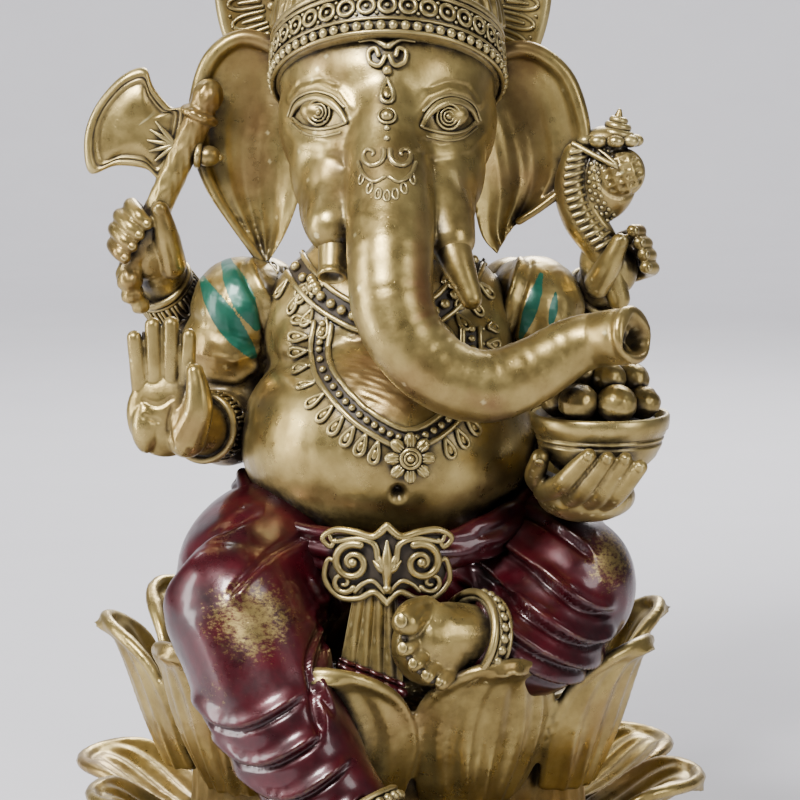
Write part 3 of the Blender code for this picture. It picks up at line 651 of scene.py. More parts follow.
def trunk_creases(places, normals):
    """Fine rings round the trunk, strongest on the inside of its bend."""
    path = spline(np.column_stack([TRUNK, TRUNK_RADII]), 6)
    rise = np.zeros(len(places))
    near = places[:, 1] < -36
    pts = places[near]
    gaps = np.linalg.norm(pts[:, None] - path[None, :, :3], axis=2)
    nearest = gaps.argmin(1)
    along = nearest / (len(path) - 1)
    tangent = unit(np.gradient(path[:, :3], axis=0))
    forward = np.einsum("ij,ij->i", pts - path[nearest, :3], tangent[nearest])
    run = np.concatenate([[0], np.cumsum(np.linalg.norm(np.diff(path[:, :3], axis=0), axis=1))])
    at = run[nearest] + forward
    creases = np.cos(2 * math.pi * at / CREASE_GAP + 0.8 * np.sin(at * 0.9))
    rise[near] = CREASE_HEIGHT * creases * step(along, 0.3, 0.5) * (1 - step(along, 0.93, 0.97))
    return rise


def trunk_mouth(places, normals):
    """How deep the hollow end of the trunk and its two nostrils go."""
    tip = np.array(TRUNK[-1]) + TRUNK_MOUTH * TRUNK_RADII[-1] * 0.7
    side, up = side_frame(TRUNK_MOUTH)
    offset = places - tip
    ahead = offset @ TRUNK_MOUTH
    across, rise = offset @ side, offset @ up
    front = step(ahead, -2.5, -0.5)
    narrow = 3.5 - 0.42 * np.clip(rise, -3.5, 3.5)
    push = 3.0 * np.exp(-((across / narrow) ** 2 + ((rise + 0.2) / 3.3) ** 2) ** 3) * front
    for place in (-1.55, 1.55):
        push += 3.4 * np.exp(-(((across - place) / 1.25) ** 2 + ((rise + 0.9) / 1.5) ** 2) ** 1.5) * front
    return push


def face_relief(places, normals):
    """Eye sockets, brow creases, cheek folds and the lips of the tusk sockets."""
    push = np.zeros(len(places))
    front = step(-normals[:, 1], 0.1, 0.5)
    for x, z, inward in EYES.values():
        dx, dz = (places[:, 0] - x) * inward, places[:, 2] - z
        push -= 0.9 * np.exp(-((dx / 5.6) ** 2 + (dz / 3.3) ** 2) ** 1.5) * front

        def at(points):
            return [(x + EYE_SCALE * px * inward, z + EYE_SCALE * pz) for px, pz in points]
        for line, width, height in EYE_FOLDS:
            push += ridge(places, normals, at(line), width, height)
    push += 0.07 * lumps(places, 9, 3) * front
    return push


def make_head():
    """The head and trunk as one skin."""
    shells = [ball((0, -11, 148.5), (21.3, 20.3, 20), 28, 40),
              ball((0, -17, 135.5), (17.0, 15.4, 16.3), 24, 36),
              ball((0, -19, 146.5), (17.6, 13.6, 17), 24, 34),
              ball((0, -11, 156.5), (21, 19.4, 15), 28, 40),
              tube(TRUNK, TRUNK_RADII, 36, 8)]
    for side in (-1, 1):
        shells.append(ball((10.8 * side, -24.4, 134), (6.2, 8, 10.5), 18, 24))
        shells.append(ball((13.4 * side, -19.5, 140), (5.6, 7.2, 10), 18, 24))
    for points, _ in TUSKS.values():
        start = np.array(points[-3])
        way = unit(np.array(points[-2]) - start)
        shells.append(tube([start - way * 2, start + way * 3, start + way * 8.8], [5.8, 5.9, 5.0], 24, 6))
    tip = np.array(TRUNK[-1]) + TRUNK_MOUTH * TRUNK_RADII[-1] * 0.5
    shells.append(ring(tip, TRUNK_MOUTH, 4.3, 1.25, 32, 10))
    head = clay("head_and_trunk", shells, 0.42, 12, FACE, ("head", "trunk"))
    soften(head, lambda p, n: step(p[:, 2], 130, 139) * step(-p[:, 1], 14, 20), 110)
    sculpt(head, face_relief)
    sculpt(head, trunk_creases)
    dent(head, -TRUNK_MOUTH, trunk_mouth)

    def brown_line_down_trunk(places, normals):
        """Brown along a line down the left of the trunk, strongest on its faces that turn right and down.
        """
        distance = stroke(places, [(4, 134), (5, 124), (6, 114), (10, 106), (19, 100)])[0]
        on_trunk = step(-places[:, 1], 28, 38) * step(normals[:, 0] - normals[:, 2], -0.3, 0.5)
        return np.exp(-(distance / 3.2) ** 2) * on_trunk
    mark(head, "rust", brown_line_down_trunk)
    return head


def make_eye(name, tree, x, z, inward):
    """An almond eyeball with ringed iris, two upper lids and two lower lid lines."""
    def laid(path, lift):
        """A path measured from the middle of the eye, laid on the face."""
        return drape(tree, [(x + EYE_SCALE * px * inward, z + EYE_SCALE * pz)
                            for px, pz in spline(path, 6)], lift)
    middle, normal = on_front(tree, x + 0.4 * inward, z)
    look = unit(normal + np.array([0, -0.9, 0]))
    ball_centre = middle - look * 1.35
    parts = [ball(ball_centre, (4.6, 2.5, 2.7), 20, 30, 9 * inward)]
    front = ball_centre + look * 2.3
    for radius, thick in ((2.35, 0.26), (1.6, 0.2), (0.95, 0.2)):
        parts.append(ring(front + look * (0.34 - 0.10 * radius), look, radius, thick, 30, 8))
    parts.append(ball(front + look * 0.1, 0.62, 10, 14))
    upper = [(-6.3, -1.2), (-4.6, 1.7), (-1.2, 3.35), (2.2, 2.9), (4.9, 0.8), (6.6, -2.0)]
    lower = [(-6.1, -1.4), (-3.6, -3.2), (0.2, -3.7), (3.6, -3.1), (6.4, -2.1)]
    second = [(-7.4, -1.0), (-5.6, 2.8), (-1.4, 4.8), (2.8, 4.2), (5.9, 1.6)]
    third = [(-6.6, -2.8), (-3.4, -4.8), (0.6, -5.3), (5.0, -4.3)]
    count = len(spline(upper, 6))
    swell = np.sin(np.linspace(0, math.pi, count))
    parts.append(wire(laid(upper, 0.35), 0.42 + 0.55 * swell, 10))
    parts.append(wire(laid(lower, 0.15), 0.34))
    parts.append(wire(laid(second, 0.0), 0.34))
    parts.append(wire(laid(third, 0.0), 0.26))
    make(name, parts, BRASS)


def make_ornament(tree):
    """A generic engraved curl with a fan of seven small ovals under it."""
    parts = []
    for side in (-1, 1):
        turns = np.linspace(0, 2.1 * math.pi, 26)
        reach = 0.35 + 2.1 * turns / turns[-1]
        curl = np.column_stack([side * (2.9 - reach * np.cos(turns)), 143.3 + reach * np.sin(turns)])
        parts.append(wire(drape(tree, curl, 0.1), np.linspace(0.4, 0.58, 26)))
        sweep = spline([(side * 0.5, 139.4), (side * 2.2, 138.6), (side * 4.3, 139.8),
                        (side * 5.2, 141.8)], 5)
        parts.append(wire(drape(tree, sweep, 0.1), 0.42))
    for z in (146.2, 148.0):
        place, _ = on_front(tree, 0, z, 0.1)
        parts.append(ball(place, 0.62, 8, 12))
    for k in range(-3, 4):
        x = 1.55 * k
        place, normal = on_front(tree, x, 136.2 + 0.13 * x * x, 0.05)
        parts.append(oval_ring(place, normal, 0.56, 1.15, 0.27, 0.1 * k))
    make("brow_ornament", parts, BRASS)


def oval_ring(place, normal, wide, tall, thick, lean=0.0):
    """A thin upright oval loop lying on a surface."""
    across = unit(np.cross(normal, (0, 0, 1.0)))
    up = np.cross(across, normal)
    c, s = math.cos(lean), math.sin(lean)
    across, up = across * c + up * s, up * c - across * s
    u = np.linspace(0, 2 * math.pi, 14, endpoint=False)[:, None]
    return wire(place + across * wide * np.cos(u) + up * tall * np.sin(u), thick, 6, closed=True)


def teardrop(place, normal, down, size, thick):
    """A drop-shaped loop with a smaller drop inside, its point upwards against down."""
    down = unit(down - normal * (down @ normal))
    across = np.cross(normal, down)
    u = np.linspace(0, 2 * math.pi, 16, endpoint=False)[:, None]
    spread = 0.5 * (1 - np.cos(u)) ** 0.75
    loop = place + down * (-size * np.cos(u)) + across * (0.72 * size * np.sin(u) * spread)
    return [wire(loop, thick, closed=True),
            ball_on(place + down * 0.18 * size + normal * 0.1, normal, down,
                    (0.30 * size, 0.5 * size, 0.36))]


def ball_on(place, normal, down, radii):
    """A small oval boss lying on a surface: radii are across, along down, and out."""
    across = np.cross(normal, down)
    points, faces = ball((0, 0, 0), 1.0, 8, 10)
    matrix = np.stack([across * radii[0], down * radii[1], normal * radii[2]])
    return points @ matrix + place, faces


def make_jewel(tree):
    """The drop hanging from the crown on the brow: two scrolls, beads and a framed drop."""
    low, high = box("forehead_jewel")
    top, foot = high[2] + 0.6, low[2] + 1.6
    parts = []
    for side in (-1, 1):
        scroll = spline([(side * 0.4, top - 2.4), (side * 1.4, top - 4.0), (side * 3.1, top - 3.4),
                         (side * 3.4, top - 1.6), (side * 2.1, top - 1.0), (side * 1.6, top - 2.2)], 6)
        parts.append(wire(drape(tree, scroll, 0.6), 0.5, 10))
        flare = spline([(side * 0.3, top - 0.6), (side * 2.4, top + 0.5), (side * 5.0, top + 0.2)], 5)
        parts.append(wire(drape(tree, flare, 0.6), np.linspace(0.7, 0.25, len(flare))))
    place, normal = on_front(tree, 0, top - 4.9, 0.4)
    parts.append(ball(place, 0.95, 10, 14))
    place, normal = on_front(tree, 0, top - 8.6, 0.35)
    parts += teardrop(place, normal, np.array([0, 0, -1.0]), 2.7, 0.45)
    place, normal = on_front(tree, 0, foot + 1.6, 0.35)
    parts.append(ball(place, 1.25, 10, 14))
    parts.append(ring(place, normal, 1.6, 0.3, 20, 8))
    make("forehead_jewel_scrolls", parts, BRASS, ("forehead_jewel",))


def make_tusks():
    """The whole tusk, the broken one and the two bands round each."""
    left, left_radii = TUSKS["left"]
    clay("left_tusk_ivory", [tube(left, left_radii, 28, 8)], 0.3, 4, BRASS, ("left_tusk",))
    right, right_radii = TUSKS["right"]
    way = unit(np.array(right[-1]) - right[-2])
    end = np.array(right[-1]) + way * 1.2
    lip = ring(end, way, 2.1, 0.85, 28, 10)
    stub = clay("right_tusk_stub", [tube(right, right_radii, 28, 8), lip], 0.3, 2, BRASS, ("right_tusk",))
    dent(stub, -way, lambda p, n: 2.6 * np.exp(-(np.linalg.norm(p - end - way, axis=1) / 1.9) ** 4))
    bands = []
    for points, radii in TUSKS.values():
        path = spline(np.column_stack([points, radii]), 8)
        k = int(0.62 * len(path))
        way = unit(path[k + 1, :3] - path[k - 1, :3])
        for shift, swell, thick in ((-0.6, 0.35, 0.75), (0.8, 0.1, 0.4)):
            bands.append(ring(path[k, :3] + way * (shift - 1.5), way, path[k, 3] + swell, thick, 28, 8))
    make("tusk_bands", bands, BRASS)


EAR_OUTLINES = {
    "right": [(-16.5, 158), (-21, 161.7), (-28.5, 164), (-34.6, 160), (-37.4, 152), (-37.4, 143),
              (-35, 135), (-30.5, 127.5), (-25, 119.7)],
    "left": [(16.5, 157), (20, 160.2), (27.5, 161.7), (34.5, 157), (38, 148.5), (38.6, 141), (36, 135.6),
             (30.6, 131), (25.4, 127.6)]}
EAR_ROOTS = {
    "right": [(-14, 157), (-14, 152), (-14, 146), (-16, 138), (-18, 131), (-20.5, 125), (-23.6, 119.9)],
    "left": [(14, 156), (14, 151), (14, 145), (15.5, 138), (17, 131), (18.6, 125), (21.6, 121.4)]}


def make_ear(side):
    """A flaring sheet with a rolled rim, a hollow behind it and ridges fanning down to the tips."""
    outer = evenly(spline(EAR_OUTLINES[side], 8), 96)
    inner = evenly(spline(EAR_ROOTS[side], 8), 96)
    share = np.linspace(0, 1, 64)[None, :, None]
    flat = inner[:, None] * (1 - share) + outer[:, None] * share
    v = np.linspace(0, 1, 64)[None]
    u = np.linspace(0, 1, 96)[:, None]
    root_flare = 3.2 * (1 - v) ** 2 * (1 - 0.5 * u)
    dish = 3.4 * np.sin(np.pi * np.clip(v * 1.05, 0, 1)) * (0.45 + 0.55 * (1 - u))
    hollow = -1.5 - root_flare + dish
    angle = 6.0 * math.pi * v ** 1.2
    ridges = 0.7 * np.sin(angle + 1.6 * u) * step(u, 0.35, 0.95) * step(v, 0.06, 0.2)
    fine = 0.07 * np.sin(19 * math.pi * v + 3 * u) * step(v, 0.1, 0.3) * step(u, 0.2, 0.6)
    depth = hollow - ridges - fine
    front = np.stack([flat[..., 0], depth, flat[..., 1]], -1)
    back = np.stack([flat[..., 0], depth + 2.3 + 0 * v, flat[..., 1]], -1)
    rim = np.column_stack([outer[:, 0], depth[:, -1] + 0.4, outer[:, 1]])
    swell = 1.75 - 0.9 * step(np.linspace(0, 1, 96), 0.45, 0.95)
    shells = [slab(front, back), wire(rim[2:-1], swell[2:-1], 12)]
    ear = clay(side + "_ear_flap", shells, 0.38, 3, FACE, (side + "_ear",))
    sign = -1 if side == "right" else 1

    def stained(places, normals):
        """A brown stain down the middle of the ear, fading towards its tip."""
        return 0.62 * np.exp(-((places[:, 0] - sign * 26.5) / 6.5) ** 2) * step(places[:, 2], 124, 136)
    mark(ear, "rust", stained)


# ---------------------------------------------------------------- crown and halo
BRIM = np.array([0, -8.6, 159.2])
BRIM_LEAN = -29
BRIM_RADIUS = 22.5
CROWN_FOOT = np.array([0, -6.8, 156.8])
CROWN_LEAN = -8
# Radius and height, and then each tier's low and high ends, number of leaves and relief.
CROWN_PROFILE = [(0.5, 2), (20, 2), (21.6, 5), (22.3, 9), (21.8, 13), (20.4, 16.5), (17.4, 18.4),
                 (17.2, 19.4), (18, 21.5), (17, 25), (14.4, 28), (11.6, 29.6), (11.4, 30.4),
                 (12, 32), (11, 35), (8.4, 37.5), (6.2, 38.6), (5.6, 39.6), (5.6, 41), (4.2, 43),
                 (0.5, 44.4)]
CROWN_TIERS = [(2.0, 9.0, 26, 0.55), (9.2, 17.6, 14, 1.0), (19.4, 28.6, 12, 0.9),
               (30.2, 37.9, 10, 0.8), (38.8, 44.0, 8, 0.5)]


def round_brim(radius, height, count, phase=0.0):
    """Points round the crown's brim at a radius and a height over its middle, and the ways out of it."""
    u = np.linspace(0, 2 * math.pi, count, endpoint=False) + phase
    flat = np.stack([radius * np.cos(u), radius * np.sin(u), np.full(count, height)], -1) + BRIM
    outward = np.stack([np.cos(u), np.sin(u), 0 * u], -1)
    return turn_x(flat, BRIM_LEAN, BRIM), turn_x(outward, BRIM_LEAN)


def brim_hoop(radius, height, thick):
    """One hoop round the brim."""
    return wire(round_brim(radius, height, 120)[0], thick, 10, closed=True)


def make_brim():
    """The crown's brim: rims, a row of beads and a row of small rings."""
    wall = [(-1.3, -5.2), (-0.5, -4.6), (-0.2, 0), (-0.6, 4.6), (-1.6, 5.2)]
    base = turned([(0.5, -3.0)] + [(BRIM_RADIUS + out, height) for out, height in wall] + [(0.5, 5.2)],
                  120, BRIM)
    parts = [(turn_x(base[0], BRIM_LEAN, BRIM), base[1])]
    for height, out, thick in ((-4.8, -0.3, 0.45), (-2.2, 0, 0.4), (3.1, -0.1, 0.5), (4.7, -0.5, 0.85)):
        parts.append(brim_hoop(BRIM_RADIUS + out, height, thick))
    for place in round_brim(BRIM_RADIUS, -3.7, 62)[0]:
        parts.append(ball(place, 0.98, 8, 12))
    places, ways = round_brim(BRIM_RADIUS + 0.1, 0.5, 36)
    for place, way in zip(places, ways):
        parts.append(ring(place, way, 1.5, 0.46, 20, 8))
        parts.append(ball(place, 0.5, 6, 8))
    for place in round_brim(BRIM_RADIUS, 0.5, 36, math.pi / 36)[0]:
        up = turn_x([[0, 0, 1.5]], BRIM_LEAN)[0]
        parts.append(ball(place + up, 0.4, 6, 8))
        parts.append(ball(place - up, 0.4, 6, 8))
    make("crown_brim", parts, BRASS, ("crown_band",))


def make_crown():
    """Tiers of upright carved leaves under a bud."""
    profile = spline(CROWN_PROFILE, 10)
    u = np.linspace(0, 2 * math.pi, 320, endpoint=False)[None]
    r, z = profile[:, :1], profile[:, 1:]
    relief = 0 * u * r
    for low, high, leaves, height in CROWN_TIERS:
        t = (z - low) / (high - low)
        inside = (t > 0) & (t < 1)
        t = np.clip(t, 0, 1)
        across = np.abs((u * leaves / (2 * math.pi)) % 1 - 0.5)
        width = 0.47 * np.sqrt(1 - t ** 2.4)
        edge = step(width - across, 0, 0.05)
        inner = step(0.66 * width - across, 0, 0.06) * step(0.78 - t, 0, 0.1)
        rib = np.exp(-(across / 0.035) ** 2) * step(0.7 - t, 0, 0.1)
        relief = relief + np.where(inside, height * (edge - 0.62 * inner + 0.55 * rib * inner), 0)
    r = np.maximum(r + relief - 0.35, 0.3)
    points = np.stack([r * np.cos(u), 0.92 * r * np.sin(u), z + 0 * u], -1) + CROWN_FOOT
    shells = [grid(turn_x(points, CROWN_LEAN, CROWN_FOOT), close_columns=True, caps=True)]
    for radius, height, count, size in ((17.3, 18.7, 44, 0.85), (11.7, 30.0, 32, 0.75),
                                        (6.0, 39.2, 20, 0.6)):
        a = np.linspace(0, 2 * math.pi, count, endpoint=False)
        row = np.stack([radius * np.cos(a), 0.92 * radius * np.sin(a), 0 * a + height], -1) + CROWN_FOOT
        shells += [ball(place, size, 7, 10) for place in turn_x(row, CROWN_LEAN, CROWN_FOOT)]
    make("crown_leaves", shells, BRASS, ("crown",))


def make_halo():
    """A disc behind the crown: bead rows, radial leaves and a plain rolled rim."""
    low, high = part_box("halo")
    middle = np.array([(low.x + high.x) / 2 / MM, 16.5, (low.z + high.z) / 2 / MM])
    radius = (high.x - low.x) / 2 / MM - 0.4
    back, front = 1.6, -1.3
    profile = [(0.5, back), (radius - 1.2, back), (radius, 0.6), (radius, -0.8),
               (radius - 1.4, -1.9), (radius - 2.4, -1.2), (radius - 9.8, front),
               (radius - 11, -1.9), (radius - 12.4, front + 0.5), (0.5, front + 0.5)]
    disc = turned(profile[::-1], 160)
    points = disc[0][:, [0, 2, 1]] + middle
    parts = [(points, disc[1])]

    def at(distance, angle, depth=front):
        return middle + np.array([distance * math.cos(angle), depth, distance * math.sin(angle)])
    leaves = 46
    for k in range(leaves):
        a = 2 * math.pi * k / leaves
        half = math.pi / leaves * 0.72
        leaf = [(9.4, -1), (5.2, -0.95), (3.2, -0.5), (2.7, 0), (3.2, 0.5), (5.2, 0.95), (9.4, 1)]
        parts.append(tube([at(radius - inset, a + half * side) for inset, side in leaf], 0.42, 8, 3))
        parts.append(tube([at(radius - 8.8, a), at(radius - 4.8, a)], [0.62, 0.34], 8, 3))
    for count, distance, size in ((64, radius - 11.2, 0.95), (90, radius - 2.6, 0.32)):
        parts += [ball(at(distance, 2 * math.pi * k / count, front - 0.3), size, 7, 10)
                  for k in range(count)]
    for distance, depth in ((radius - 11.2, back), (radius - 4.0, back)):
        circle = [at(distance, a, depth) for a in np.linspace(0, 2 * math.pi, 96, endpoint=False)]
        parts.append(wire(circle, 0.6, closed=True))
    parts.append(tube([middle + (0, -8.5, -4), middle + (0, 0, -2)], 8.5, 32, 2))
    make("halo_disc", parts, BRASS, ("halo",))


# ---------------------------------------------------------------- torso, cloth and necklaces
COLLAR = [(-22.4, 127), (-17.5, 119.6), (-10.4, 113.4), (0, 109.8), (9.6, 112.6), (15.4, 119),
          (18.6, 127)]
LONG_CHAIN = [(-12.4, 109.6), (-12.9, 105.4), (-11.8, 101.4), (-8.2, 97.2), (-3.2, 93.2),
              (4.1, 90.2), (11, 93.2), (14.4, 98), (15.8, 103), (15.9, 108.6)]
# The part of the collar without drops: x, z and reach.
BEHIND_TRUNK = (0.5, 107.0, 10.5)
NAVEL = (2.0, 79.9)
# Under each breast, down the right side and under the belly: path, width, height and fade.
TORSO_FOLDS = [([(-22.5, 104.5), (-17.5, 100.6), (-11.5, 100.4)], 1.6, -0.9, 0.35),
               ([(23, 104.5), (18.4, 100.6), (12.5, 100.4)], 1.6, -0.9, 0.35),
               ([(-27, 100), (-27.6, 93), (-27.8, 87)], 1.2, -0.7, 0.3),
               ([(-25, 71.8), (-14, 67.4), (0, 66), (14, 67.4), (26, 71.8)], 2.2, 0.9, 0.2)]


def torso_relief(places, normals):
    """The folds of the chest, sides and belly, and the navel."""
    push = np.zeros(len(places))
    for path, width, height, fade in TORSO_FOLDS:
        push += ridge(places, normals, path, width, height, fade=fade)
    hole = np.hypot(places[:, 0] - NAVEL[0], (places[:, 2] - NAVEL[1]) * 0.85)
    front = step(-normals[:, 1], 0.1, 0.4)
    push += (-2.6 * np.exp(-(hole / 1.05) ** 2) + 0.28 * np.exp(-((hole - 1.9) / 0.6) ** 2)) * front
    push += 0.10 * lumps(places, 11, 5)
    return push


def make_torso():
    """Chest, belly and shoulders."""
    shells = [ball((0, -6, 107), (25, 18, 20), 28, 40), ball((0, -13, 86.3), (29, 28, 22.5), 36, 52),
              ball((0, -6, 118), (17, 14, 12), 20, 28), ball((0, -3, 126), (14, 13, 12), 20, 28),
              ball((0, -2, 96), (26, 18, 20), 24, 32)]
    for side in (-1, 1):
        shells.append(ball((27 * side, 0, 110), (9, 9, 10), 18, 24))
        shells.append(ball((11.5 * side, -15, 105), (10.4, 8.8, 8.4), 18, 24))
    body = clay("torso_skin", shells, 0.5, 22, FACE, ("torso",))
    sculpt(body, torso_relief)

    def patch(places, normals):
        """The oval of rough, brown cloth between the two necklaces."""
        reach = ((places[:, 0] - 2) / 12.5) ** 2 + ((places[:, 2] - 103) / 10.5) ** 2
        return np.exp(-reach ** 3) * step(-normals[:, 1], 0.2, 0.5)
    sculpt(body, lambda p, n: 0.22 * patch(p, n) * lumps(p, 1.7, 21))
    mark(body, "rust", lambda p, n: 0.72 * patch(p, n))
    return body


def beside(path, distance):
    """A path of (x, z) moved sideways: positive is to the right of its run."""
    way = unit(np.gradient(np.asarray(path, float), axis=0))
    return path + distance * np.column_stack([way[:, 1], -way[:, 0]])


def necklace(name, tree, path, node, drops, half=2.2, skip=None):
    """Two rims with beads between them and drops off the outer rim, none inside skip: x, z and reach."""
    line = evenly(spline(path, 12), 120)
    parts = []
    for shift in (-half, half):
        parts.append(wire(drape(tree, beside(line, shift), 0.45), 0.62))
    # A dark sheet just under the beads: painted shade between them.
    shifts = np.linspace(-half, half, 7)
    shade_sheet = [np.stack([drape(tree, beside(line, shift), lift) for shift in shifts], 1)
              for lift in (0.3, -0.8)]
    make(name + "_ground", [slab(*shade_sheet)], PAINTED_SHADE)
    bead = 0.46 * half
    length = np.linalg.norm(np.diff(line, axis=0), axis=1).sum()
    for place in drape(tree, evenly(line, int(length / (2.15 * bead))), 0.3 + 0.6 * bead):
        parts.append(ball(place, bead, 8, 10))
    row = evenly(beside(line, half + 2.6), drops)
    inner = evenly(beside(line, half + 0.6), drops)
    for (x, z), (x0, z0) in zip(row, inner):
        if skip and math.hypot(x - skip[0], z - skip[1]) < skip[2]:
            continue
        place, normal = on_front(tree, x, z, 0.3)
        hook, _ = on_front(tree, x0, z0, 0.35)
        parts += teardrop(place, normal, unit(place - hook), 2.1, 0.45)
        parts.append(ball(hook, 0.45, 6, 8))
    make(name, parts, BRASS, (node,))


def make_pendant(tree):
    """Eight domed leaves round a ringed button."""
    x, _, z = centre("flower_pendant")
    middle, normal = on_front(tree, x, z, 0.0)
    look = unit(normal + np.array([0, -0.6, 0.05]))
    middle = middle + look * 1.3
    across, up = side_frame(look)
    parts = [ball(middle - look * 0.4, (2.6, 1.6, 2.6), 12, 20)]
    for k in range(8):
        a = 2 * math.pi * k / 8
        way = across * math.cos(a) + up * math.sin(a)
        turn = np.cross(look, way)
        parts.append(ball_on(middle + way * 3.2, look, way, (1.28, 1.75, 0.85)))
        for bend in (-0.5, 0, 0.5):
            tip = middle + way * 4.3 + turn * bend * 1.1 + look * 0.62
            parts.append(tube([middle + way * 2.4 + turn * bend + look * 0.72, tip], [0.2, 0.14], 6, 2))
    for radius, lift, thick in ((1.75, 1.0, 0.36), (1.1, 1.25, 0.26)):
        parts.append(ring(middle + look * lift, look, radius, thick, 24, 8))
    parts.append(ball(middle + look * 1.2, 0.75, 10, 14))
    make("pendant_flower", parts, BRASS, ("flower_pendant",))


SHAWLS = {
    "right": {"hem": [(-27, 119.6), (-23.2, 112.5), (-21.9, 106), (-23.2, 98)],
              "strokes": [([(-32.4, 121), (-28.8, 114.6), (-25.6, 108)], 2.3),
                          ([(-36.4, 116.5), (-31.6, 109.4), (-26.4, 102.4)], 2.5)]},
    "left": {"hem": [(26.2, 120), (23.6, 112.5), (22.2, 106), (22.6, 98)],
             "strokes": [([(30, 118), (28, 112), (26, 106)], 1.4), ([(32.8, 114.6), (31.8, 108)], 0.9)]}}


def make_shawl(side):
    """Cloth over one shoulder, with a hem, soft folds and green strokes."""
    sign = -1 if side == "right" else 1
    shells = [ball((28.8 * sign, -1.2, 110.5), (10.4, 11.6, 10.5), 20, 28),
              ball((31.5 * sign, -1.5, 103), (9.8, 10.6, 10), 20, 28)]
    cloth = clay(side + "_shoulder_cloth", shells, 0.45, 6, STRIPED, (side + "_shawl",))
    style = SHAWLS[side]

    def relief(places, normals):
        """The hem with its groove, and soft folds."""
        push = ridge(places, normals, style["hem"], 0.9, 1.1, 0.05, 0)
        push += ridge(places, normals, [(x + sign * 2.0, z) for x, z in style["hem"]], 0.5, -0.7, 0.05, 0)
        for k in range(4):
            drop = 4.4 * k
            path = [(sign * 22.8, 104 - drop * 0.6), (sign * 30, 101.4 - drop), (sign * 39, 103 - drop)]
            push += ridge(places, normals, path, 0.8, 0.45, 0.05)
        return push + 0.2 * lumps(places, 5, 8) + 0.06 * lumps(places, 1.6, 9)
    sculpt(cloth, relief)

    def painted(places, normals):
        """The brushed strokes, widest at their middles."""
        out = np.zeros(len(places))
        for path, width in style["strokes"]:
            distance, _, share = stroke(places, spline(path, 8))
            leaf = width * (0.35 + 0.65 * np.sin(np.clip(share, 0, 1) * math.pi))
            out = np.maximum(out, step(leaf - distance, -0.25, 0.35))
        return out * step(-places[:, 1], -3, 2)
    mark(cloth, "paint", painted)
    return cloth


# Each arm: its path from shoulder to wrist and the radii along it.
ARMS = {
    "front_right": ([(-28, -2, 109), (-31.5, -1, 95), (-31.5, -5, 88), (-35.5, -17, 89)],
                    [9, 8.6, 8.4, 5.6]),
    "front_left": ([(28, -2, 109), (31.5, 1, 95), (32, -2, 86), (34.5, -19, 80)], [9, 8.4, 8, 5.6]),
    "rear_right": ([(-25, 4, 112), (-34, 11, 105), (-39, 11, 105), (-44, 6, 113)], [8.5, 7.5, 7, 4.9]),
    "rear_left": ([(25, 4, 112), (32, 11, 104), (36, 11, 104), (41, 6, 111.5)], [8.5, 7.5, 7, 4.9])}


def make_arm(name):
    """One arm, from shoulder to wrist."""
    arm = clay(name + "_arm_skin", [tube(*ARMS[name], 28, 8)], 0.45, 6, BRASS, (name + "_arm",))
    sculpt(arm, lambda places, normals: 0.10 * lumps(places, 7, 11))


# ---------------------------------------------------------------- trousers, sash and feet
# Gold rubbed through the lacquer: middle, reach and strength.
KNEE_RUBS = [((-25, 59), (11, 9.5), 1.0), ((42.5, 67), (6.5, 9.5), 0.95),
             ((-31, 46), (7, 9), 0.55), ((30, 73), (8, 4), 0.45), ((-11, 57), (3.5, 2.5), 0.6)]
# Cloth folds: path, width and height.
TROUSER_FOLDS = [
    ([(-22, 75), (-33, 70), (-41, 60), (-43.5, 48)], 2.6, 0.95),
    ([(-12, 71), (-22, 68), (-29, 62)], 2.0, 0.8),
    ([(-4, 64), (-9.5, 57), (-12.5, 47), (-10.5, 38)], 2.2, 1.1),
    ([(-42, 52), (-38, 44), (-30, 37)], 2.4, 0.8),
    ([(-34, 38), (-24, 33.5), (-11, 40)], 1.6, 1.3),
    ([(-30, 32), (-19, 27.6), (-6, 35)], 1.5, 1.3),
    ([(-25, 26), (-15, 22.4), (-3.5, 29)], 1.4, 1.2),
    ([(-37, 44), (-28, 40), (-14, 47)], 1.7, 1.0),
    ([(9, 70.5), (17, 70), (27, 66), (37, 59), (44, 57)], 1.7, 1.5),
    ([(10, 67), (18, 64.5), (28, 57.5), (38, 52), (45, 53)], 1.7, 1.6),
    ([(12, 62.5), (20, 57), (29, 51), (38, 47), (44, 49)], 1.6, 1.5),
    ([(22, 51), (30, 46), (39, 43.5)], 1.5, 1.2),
    ([(12, 74), (24, 75), (33, 72), (40, 67)], 1.5, 1.0),
    ([(-42, 60), (-45, 50), (-42, 42)], 1.5, 1.0),
    ([(-15, 66), (-12, 58), (-14, 50), (-9, 41)], 1.2, 0.8),
    ([(-30, 73), (-38, 66), (-42.5, 57)], 1.2, 0.7)]


def trouser_relief(places, normals):
    """The folds of the cloth, the opening by the knee and the pleats behind."""
    push = 0.16 * lumps(places, 13, 21)
    for path, width, height in TROUSER_FOLDS:
        push += fold(places, normals, spline(path, 6), width, height, 0.05)
    eye = [(-14.5, 57.5), (-11, 59.6), (-7.4, 57.2), (-11, 54.8), (-14.5, 57.5)]
    push += ridge(places, normals, spline(eye, 5), 0.8, 0.6, 0.0, 0)
    back = step(normals[:, 1], 0.0, 0.5)
    turn = np.arctan2(places[:, 0], -places[:, 1])
    push += 0.5 * np.sin(turn * 17 + 0.35 * places[:, 2]) * back * step(places[:, 2], 44, 54)
    return push


